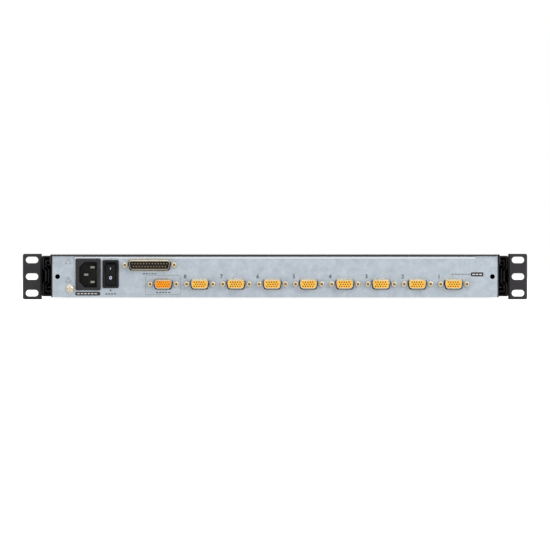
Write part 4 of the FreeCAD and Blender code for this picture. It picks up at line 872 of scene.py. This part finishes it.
dark_marks = [
    ink_patch(24, 3.6, 1.2, inlet_x + 0.3 * MM, RATING_Z),
    ink_patch(0.6, 1.7, 0.2, switch_x, frame_high.z + 1.6 * MM),
    ink_patch(1.5, 1.5, 0.75, switch_x, frame_low.z - 2.2 * MM),
    ink_patch(12.2, 3.9, 1.2, BADGE_X, BADGE_Z),
    *dashes(5, 2.7, 1.8, 0.9, chain_x, chain_z - 8.3 * MM),
    *dashes(5, 2.9, 2.0, 0.9, console_x, console_z - 8.0 * MM),
    *dashes(4, 2.7, 1.8, 1.0, switch_x, frame_low.z - 5.6 * MM),
]
grey_marks = [
    printed_frame(33.8, 18.8, 2.0, 0.35, "rear", (console_x, face_y, console_z - 0.7 * MM)),
    *dashes(6, 3.1, 2.3, 1.1, CAPTION_X, BADGE_Z),
]
white_marks = [ink_patch(2.2, 0.6, 0.3, inlet_x + (k - 2.2) * LINE_PITCH * MM, RATING_Z, INK)
               for k in range(6)]
white_marks += [ink_patch(2.4, 0.7, 0.3, BADGE_X + (k - 1) * LINE_PITCH * MM, BADGE_Z, INK)
                for k in range(3)]
outer = corners_cut([(-3.3, -2.6), (3.3, -2.6), (0, 3.1)], 0.7) * MM
inner = corners_cut([(-2.35, -2.1), (2.35, -2.1), (0, 2.05)], 0.5) * MM
for z in (14.4, -3.1):
    triangle = flat_ring(inner, outer, 0, INK * MM)
    grey_marks.append(placed(triangle, "rear", (TAB_X * MM, tab_face, z * MM)))
piece("panel_numbers", numbers, "drawer", "black_plastic", NUMBER_INK)
piece("panel_dark_marks", dark_marks, "drawer", "black_plastic", DARK_INK)
piece("panel_grey_marks", grey_marks, "drawer", "zinc_panel", GREY_INK)
piece("panel_white_marks", white_marks, "drawer", "zinc_panel", WHITE_INK)
print(made[-4:])

# %% [markdown]
# ## The folded hem
# Along its top edge the panel's sheet is folded over, and the fold catches the light from above;
# its finish is also a lighter zinc than the panel's, a painted highlight.
# Its section is half an ellipse: y = a sqrt(1 - (z / b)^2), with b half the fold's height.

# %% Hem along the panel's top
def hem_fold():
    """A half-elliptic ridge along X, in metres."""
    half_long, half_tall, proud = 191.2 * MM, 1.2 * MM, 0.86 * MM
    angle = np.linspace(-math.pi / 2, math.pi / 2, 13)
    section = np.stack([proud * np.cos(angle), half_tall * np.sin(angle)], 1)
    rings = stack([section, section], [-half_long, half_long])
    return placed(skin(rings), "right", (0, face_y, panel_high.z - 2.2 * MM))


piece("panel_hem_fold", [hem_fold()], "drawer", "zinc_panel", HEM_HIGHLIGHT_ZINC)
print(made[-1])

# %% [markdown]
# ## The cover's painted highlight
# The cover's upper rear edge is a bend that reflects the light from above, so it looks paler than
# its faces; a thin pale strip paints that highlight. Its section is rounded: across = 0.04
# cos(angle), down = 0.65 - 0.64 sin(angle), in mm.

# %% Painted highlight on the top cover's edge
EDGE_OUT, EDGE_DOWN, EDGE_IN = 0.04, 0.65, 0.2
EDGE_TO_END = 1.9
cover_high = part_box("rear_top_cover")[1]


def cover_edge():
    """The strip of painted highlight along the cover's upper rear corner, in metres."""
    angle = np.linspace(0, math.pi / 2, 7)
    arc = np.stack([EDGE_OUT * np.cos(angle), 0.64 * np.sin(angle) - EDGE_DOWN], 1) * MM
    section = np.concatenate([arc, [(-EDGE_IN * MM, -0.01 * MM), (-EDGE_IN * MM, -EDGE_DOWN * MM)]])
    half = cover_high.x - EDGE_TO_END * MM
    place = (0, cover_high.y, cover_high.z)
    return placed(skin(stack([section, section], [-half, half])), "right", place)


piece("cover_edge_highlight", [cover_edge()], "drawer", "black_steel", EDGE_HIGHLIGHT)
print(made[-1])

# %% [markdown]
# ## Ground screw
# A lathe piece: each ring is a circle whose radius and height follow the washer and the domed
# head. The cross slot is cut by lowering every point of the dome that lies within half a slot of
# an axis.

# %% Screws on a lathe
HEAD_ZONE = 0.8


def lathe_screw(radii, heights, facing, place, slot=(0.45, 2.1, 0.9), count=72):
    """A turned head with a cross slot, in mm. slot is its half width, reach and depth, and it only
    cuts what lies within HEAD_ZONE of the top."""
    slot_half, slot_long, slot_deep = slot
    angle = np.linspace(0, 2 * math.pi, count, endpoint=False)
    radii, heights = np.array(radii)[:, None], np.array(heights)[:, None]
    u, v = radii * np.cos(angle), radii * np.sin(angle)
    height = np.broadcast_to(heights, u.shape).copy()
    near, far = np.minimum(abs(u), abs(v)), np.maximum(abs(u), abs(v))
    in_cross = (near < slot_half) & (far < slot_long)
    height[in_cross & (height > heights.max() - HEAD_ZONE)] -= slot_deep
    return placed(skin(np.stack([u, v, height], -1) * MM), facing, place)


ground_x, ground_z = middle("ground_screw")
rise = np.linspace(0, math.pi / 2, 14)[:-1]
ground = lathe_screw([2.0, 2.0, 3.9, 3.9, 3.7, 3.2, *(3.2 * np.cos(rise)), 0.05],
                     [-8, 0, 0, 0.6, 0.8, 0.82, *(2.0 + 1.0 * np.sin(rise)), 3.0], "rear",
                     (ground_x, tab_face, ground_z))
piece("ground_screw_turned", [ground], "drawer", "screw_steel", GROUND_ZINC, ["ground_screw"])
print(made[-1])

# %% [markdown]
# ## Cover and bracket screws
# These heads are low domes. The dome's rings follow a quarter turn: radius r cos(angle), height
# flank + h sin(angle). A piece of each kind holds all its screws, at the places of the packed
# ones.

# %% A low domed head
def low_dome(shank, long, head, tall, flank):
    """Radii and heights of a shank, a flat underside, a flank and a low dome, in mm."""
    rise = np.linspace(0, math.pi / 2, 8)[:-1]
    radii = [shank, shank, head, head, *((head - 0.2) * np.cos(rise)), 0.05]
    heights = [-long, 0, 0, flank, *(flank + 0.1 + (tall - flank - 0.1) * np.sin(rise)), tall]
    return radii, heights


# %% Screws of the top cover
COVER_HEAD, COVER_TALL = 2.7, 1.2
MIDDLE_SCREW_Y = 0.5
low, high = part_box("cover_screws")
cover_head = low_dome(1.3, 6.0, COVER_HEAD, COVER_TALL, 0.8)
cover_heads = []
for x in (low.x + COVER_HEAD * MM, high.x - COVER_HEAD * MM):
    for y in (low.y + COVER_HEAD * MM, MIDDLE_SCREW_Y, high.y - COVER_HEAD * MM):
        place = (x, y, high.z - COVER_TALL * MM)
        cover_heads.append(lathe_screw(*cover_head, "up", place, (0.4, 1.6, 0.5), count=48))
piece("cover_screws_turned", cover_heads, "drawer", node_slot("cover_screws"), SCREW_ZINC,
      ["cover_screws"])

# %% Screws of the brackets, of which the front ones clamp a thicker stack
BRACKET_HEAD, BRACKET_TALL = 3.4, 1.6
SCREW_STEP = 30
THICKER = 0.3
low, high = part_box("bracket_screws")
front_y, back_y = low.y + BRACKET_HEAD * MM, high.y - BRACKET_HEAD * MM
bracket_heads = []
for facing, side in (("right", 1), ("left", -1)):
    for y, out in ((front_y, THICKER), (front_y + SCREW_STEP * MM, THICKER),
                   (back_y - 2 * SCREW_STEP * MM, 0.0), (back_y, 0.0)):
        head = low_dome(1.7, 3.5 - out, BRACKET_HEAD, BRACKET_TALL, 1.0)
        place = (side * (high.x - (BRACKET_TALL + out) * MM), y, low.z + BRACKET_HEAD * MM)
        bracket_heads.append(lathe_screw(*head, facing, place, (0.45, 2.1, 0.7), count=48))
piece("bracket_screws_turned", bracket_heads, "rack_rails", node_slot("bracket_screws"), SCREW_ZINC,
      ["bracket_screws"])
print(len(cover_heads), "cover screws,", len(bracket_heads), "bracket screws")

# %% [markdown]
# ## Marks on the rocker
# The rocker's two faces slope towards its pivot, and the whole rocker rests 8 degrees off centre.
# A mark is made flat, turned by the slope and the rest angle about X, and then moved to the
# pivot.

# %% Rocker marks
ROCKER_REST = math.radians(-8)
ROCKER_SLOPE = math.atan2(1.6, 9.7)
ROCKER_THICK = 3.8
ON_AT, OFF_AT = 6.0, -3.0
pivot_y = panel_face - 1.5
pivot_z = switch_z / MM


def on_rocker(part, v):
    """A flat mark (metres, about its centre) moved onto the rocker's face, v mm from the pivot."""
    vertices, faces = part
    u, along, out = (vertices / MM).T
    slope = ROCKER_SLOPE if v > 0 else -ROCKER_SLOPE
    y = ROCKER_THICK + abs(v) * math.tan(ROCKER_SLOPE)
    y = y + along * math.sin(slope) + out * math.cos(slope)
    z = v + along * math.cos(slope) - out * math.sin(slope)
    turned_y = y * math.cos(ROCKER_REST) - z * math.sin(ROCKER_REST) + pivot_y
    turned_z = y * math.sin(ROCKER_REST) + z * math.cos(ROCKER_REST) + pivot_z
    vertices = np.stack([-u + switch_x / MM, turned_y, turned_z], 1) * MM
    return vertices, outward(vertices, faces)


low, high = 0.01 * MM, 0.05 * MM
bar = rectangle(0.6, 2.2, 0.2) * MM
ring_outer = polar(rectangle(2.5, 3.2, 1.25), 32) * MM
ring_inner = polar(rectangle(1.0, 1.6, 0.5), 32) * MM
on_mark = skin(stack([bar, bar], [low, high]))
off_mark = flat_ring(ring_inner, ring_outer, low, high)
piece("rocker_marks", [on_rocker(on_mark, ON_AT), on_rocker(off_mark, OFF_AT)], "power_rocker",
      "rocker_plastic", ROCKER_INK)
print(made[-1])

# %% [markdown]
# ## Keycaps
# Every keycap is one loft: a rounded rectangle that shrinks as it rises, a rounded shoulder, and
# a cylindrical dish whose depth at distance x from the key's middle is d (1 - (x / half
# width)^2). The layout is the same one that places the rubber domes, measured in key pitches.

# %% Key layout
KEY_GAP = 0.8
BLOCK_WIDTH = 15
main_low, main_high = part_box("main_keys")
PITCH = ((main_high.x - main_low.x) / MM + KEY_GAP) / BLOCK_WIDTH
key_bottom, key_top = main_low.z / MM, main_high.z / MM
row_zero = main_low.y / MM - KEY_GAP / 2
function_back = main_high.y / MM + KEY_GAP / 2
FUNCTION_DEEP = 14.0
MAIN_ROWS = [
    [(1.25, "CTRL"), (1.25, ""), (1.25, "ALT"), (6.25, ""), (1.25, "ALT"), (1.25, ""), (1.25, ""),
     (1.25, "CTRL")],
    [(2.25, "SHIFT"), *((1, c) for c in "ZXCVBNM,./"), (2.75, "SHIFT")],
    [(1.75, "CAPS"), *((1, c) for c in "ASDFGHJKL;'"), (2.25, "ENTER")],
    [(1.5, "TAB"), *((1, c) for c in "QWERTYUIOP[]"), (1.5, "\\")],
    [*((1, c) for c in "`1234567890-="), (2, "BACK")],
]
FUNCTION_ROW = [0, 2, 3, 4, 5, 6.5, 7.5, 8.5, 9.5, 11, 12, 13, 14]
FUNCTION_NAMES = ["ESC"] + [f"F{n}" for n in range(1, 13)]
print("key pitch", round(PITCH, 2), "mm")


def main_keys():
    """(left, row, width, rows, legend) of the main block's keys, in pitches."""
    keys = []
    for row, widths in enumerate(MAIN_ROWS):
        left = 0
        for width, legend in widths:
            keys.append((left, row, width, 1, legend))
            left += width
    return keys + [(left, 5, 1, 1, legend) for left, legend in zip(FUNCTION_ROW, FUNCTION_NAMES)]


def navigation_keys():
    """The same for the navigation block: six keys over the arrows, and three in the top row."""
    names = {5: ("PRT", "SCR", "BRK"), 4: ("INS", "HOME", "PUP"), 3: ("DEL", "END", "PDN")}
    keys = [(left, row, 1, 1, names[row][left]) for row in (5, 4, 3) for left in range(3)]
    return keys + [(1, 1, 1, 1, "^")] + [(left, 0, 1, 1, "<v>"[left]) for left in range(3)]


def number_keys():
    """The same for the number block, with two keys two rows tall and one two pitches wide."""
    keys = [(left, 4, 1, 1, ("NUM", "/", "*", "-")[left]) for left in range(4)]
    keys += [(left, row, 1, 1, str(3 * row - 2 + left)) for row in (3, 2, 1) for left in range(3)]
    return keys + [(3, 2, 1, 2, "+"), (3, 0, 1, 2, "ENT"), (0, 0, 2, 1, "0"), (2, 0, 1, 1, ".")]


# %% Cap and dish
DISH = 0.45
TOP_INSET = 2.5
SHOULDER = ((0, 0, 0.7), (0.55, 1.05, 1.0), (0.86, 1.75, 1.4), (0.96, 2.05, 1.5),
            (1.0, TOP_INSET, 1.5))


def dish_depth(x, wide):
    """How far the dish lies below the top at x mm from the middle of a key, in mm."""
    return DISH * np.clip(1 - (x / (wide / 2 - TOP_INSET)) ** 2, 0, 1)


def key_cap(left, front, wide, deep):
    """One cap from its low corner and its skirt's size, in mm. SHOULDER lists each ring's share of
    the height, its inset and its corner radius."""
    rings, heights = [], []
    for rise, inset, radius in SHOULDER:
        rings.append(rectangle(wide - 2 * inset, deep - 2 * inset, radius, 4))
        heights.append(np.full(len(rings[-1]), key_bottom + (key_top - key_bottom) * rise))
    top = rings[-1]
    for share in (0.8, 0.5, 0.15):
        rings.append(top * share)
        heights.append(key_top - dish_depth(rings[-1][:, 0], wide) * min(1, (1 - share) * 2.5))
    grid = np.array([np.column_stack([ring, height]) for ring, height in zip(rings, heights)])
    return placed(skin(grid * MM), "up", ((left + wide / 2) * MM, (front + deep / 2) * MM, 0))


def key_places(keys, block_left):
    """Low corner, size and legend of each key, in mm."""
    for left, row, width, rows, legend in keys:
        function = row == 5
        front = function_back - FUNCTION_DEEP if function else row_zero + row * PITCH
        deep = FUNCTION_DEEP if function else rows * PITCH
        yield (block_left + left * PITCH + KEY_GAP / 2, front + KEY_GAP / 2,
               width * PITCH - KEY_GAP, deep - KEY_GAP, legend)


# %% Caps and legends of the three blocks
LETTER_TALL, WORD_TALL = 3.0, 1.9
for block, keys in (("main_keys", main_keys()), ("navigation_keys", navigation_keys()),
                    ("number_keys", number_keys())):
    block_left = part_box(block)[0].x / MM - KEY_GAP / 2
    caps, legends = [], []
    for left, front, wide, deep, legend in key_places(keys, block_left):
        caps.append(key_cap(left, front, wide, deep))
        if legend:
            size = LETTER_TALL if len(legend) == 1 else WORD_TALL
            vertices, faces = lettering(legend, size, "up", (0, 0, 0), depth=0.07, bold=0)
            vertices[:, 2] += (key_top - 0.02 - dish_depth(vertices[:, 0] / MM, wide)) * MM
            legends.append((vertices + ((left + wide / 2) * MM, (front + deep / 2) * MM, 0), faces))
    piece(block + "_caps", caps, block, "key_plastic", KEY_PLASTIC, [block], smooth=50)
    piece(block + "_legends", legends, block, "key_plastic", WHITE_INK)
    print(block, len(caps), "caps,", made[-2][1], "+", made[-1][1], "faces")

# %% [markdown]
# ## Buttons and touchpad
# Moulded buttons have a small radius all round. Each is a loft of rounded rectangles along the
# direction it faces: a flank, then a quarter circle in six steps.

# %% Rounded blocks
def rounded_block(low, high, facing, corner, edge):
    """A box in mm as a block with rounded corners and a rounded outer edge."""
    low, high = np.array(low), np.array(high)
    size = abs(AXES[facing] @ (high - low))
    steps = np.linspace(0, math.pi / 2, 7)
    insets = np.concatenate([[0], edge * (1 - np.cos(steps))])
    heights = np.concatenate([[-size[2] / 2], size[2] / 2 - edge * (1 - np.sin(steps))])
    outlines = [rectangle(size[0] - 2 * i, size[1] - 2 * i, max(corner - i, 0.1)) for i in insets]
    return placed(lofted(zip(outlines, heights)), facing, (low + high) / 2 * MM)


for node, facing, corner, edge, material in (
        ("touchpad", "up", 3.0, 0.25, PAD_SURFACE),
        ("touchpad_button_left", "up", 2.0, 0.5, BUTTON_GREY),
        ("touchpad_button_right", "up", 2.0, 0.5, BUTTON_GREY),
        ("release_left", "front", 1.6, 0.9, BUTTON_GREY),
        ("release_right", "front", 1.6, 0.9, BUTTON_GREY)):
    body = node if node != "touchpad" else "drawer"
    low, high = (np.array(v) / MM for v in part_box(node))
    piece(node + "_moulded", [rounded_block(low, high, facing, corner, edge)], body,
          node_slot(node), material, [node])
print(made[-5:])

# %% [markdown]
# ## Buttons of the screen
# Five buttons in the screen's frame open its menu. They face the keyboard when the lid is shut,
# so they are blocks that face down, and the marks beside them are printed: a ring, bars and a
# plus.

# %% Screen buttons and their marks
BUTTONS, BUTTON_PITCH, BUTTON_LONG = 5, 22, 10
MARK_AWAY = 5
PLUS_BUTTON = 3
low, high = (np.array(v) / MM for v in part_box("lcd_buttons"))
bezel_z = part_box("lcd_bezel")[0].z
lid_buttons, lid_marks = [], []
for k in range(BUTTONS):
    start = low + (0, BUTTON_PITCH * k, 0)
    end = (high[0], start[1] + BUTTON_LONG, high[2])
    lid_buttons.append(rounded_block(start, end, "down", 1.6, 0.45))
    place = ((low[0] - MARK_AWAY) * MM, (start[1] + BUTTON_LONG / 2) * MM, bezel_z)
    if k == 0:
        lid_marks.append(printed_frame(3.4, 3.4, 1.7, 0.5, "down", place))
    else:
        lid_marks.append(printed_patch(0.6, 3.2, 0.25, "down", place))
    if k == PLUS_BUTTON:
        lid_marks.append(printed_patch(3.2, 0.6, 0.25, "down", place))
piece("lcd_buttons_moulded", lid_buttons, "lcd_buttons", node_slot("lcd_buttons"), BUTTON_GREY,
      ["lcd_buttons"])
piece("lcd_bezel_marks", lid_marks, "lcd", node_slot("lcd_bezel"), GREY_INK)
print(made[-2:])

# %% [markdown]
# ## Deck details
# Three status lamps stand over the number block as low round lenses, each with a printed dash,
# and a printed line frames the touchpad.

# %% Status lamps and printed marks
LAMP_PITCH, LAMP_START = 1.3, 0.7
LAMP_BEHIND, DASH_BEHIND = 9, 13
PAD_MARGIN = 4
deck_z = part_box("keyboard_deck")[1].z
pad_low, pad_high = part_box("touchpad")
pad_x, pad_y = (pad_low.x + pad_high.x) / 2, (pad_low.y + pad_high.y) / 2
number_low, number_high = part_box("number_keys")
lens_outline = polar(rectangle(2.2, 2.2, 1.1), 20)
lamps, deck_marks = [], []
for k in range(3):
    x = number_low.x + (k * LAMP_PITCH + LAMP_START) * PITCH * MM
    lens_skin = lofted([(lens_outline, -0.5), (lens_outline, 0.25), (lens_outline * 0.6, 0.45)])
    lamps.append(placed(lens_skin, "up", (x, number_high.y + LAMP_BEHIND * MM, deck_z)))
    place = (x, number_high.y + DASH_BEHIND * MM, deck_z)
    deck_marks.append(printed_patch(5.0, 0.7, 0.3, "up", place))
piece("status_lamps", lamps, "drawer", "deck_plastic", LAMP_GREEN)
pad_wide, pad_deep = (pad_high.x - pad_low.x) / MM, (pad_high.y - pad_low.y) / MM
deck_marks.append(printed_frame(pad_wide + PAD_MARGIN, pad_deep + PAD_MARGIN, 3.5, 0.5, "up",
                                (pad_x, pad_y, deck_z)))
piece("deck_marks", deck_marks, "drawer", "deck_plastic", GREY_INK)
print(made[-2:])

# %% [markdown]
# ## The floor
# A plain pale sheet under the ears. It glows a little, so that it stays almost white and the
# shadow on it stays soft.

# %% Floor
def floor_sheet(reach=30.0):
    """A square sheet at the object's lowest level."""
    mesh = bpy.data.meshes.new("floor")
    z = cad_box[0].z
    corners = [(-reach, -reach, z), (reach, -reach, z), (reach, reach, z), (-reach, reach, z)]
    mesh.from_pydata(corners, [], [(0, 1, 2, 3)])
    mesh.materials.append(finish("pale_floor", (0.3, 0.3, 0.3), (0.28, 0.28, 0.28), patch=400,
                                 rough=(0.7, 0.8), specular=0.0, grain=0.4, depth=0.02,
                                 glow=0.93))
    obj = bpy.data.objects.new("floor", mesh)
    scene.collection.objects.link(obj)


floor_sheet()

# %% [markdown]
# ## Pieces made
# The count of new pieces and their faces is printed.

# %% Count of new pieces
print(len(made), "new pieces,", sum(faces for _, faces in made), "faces")
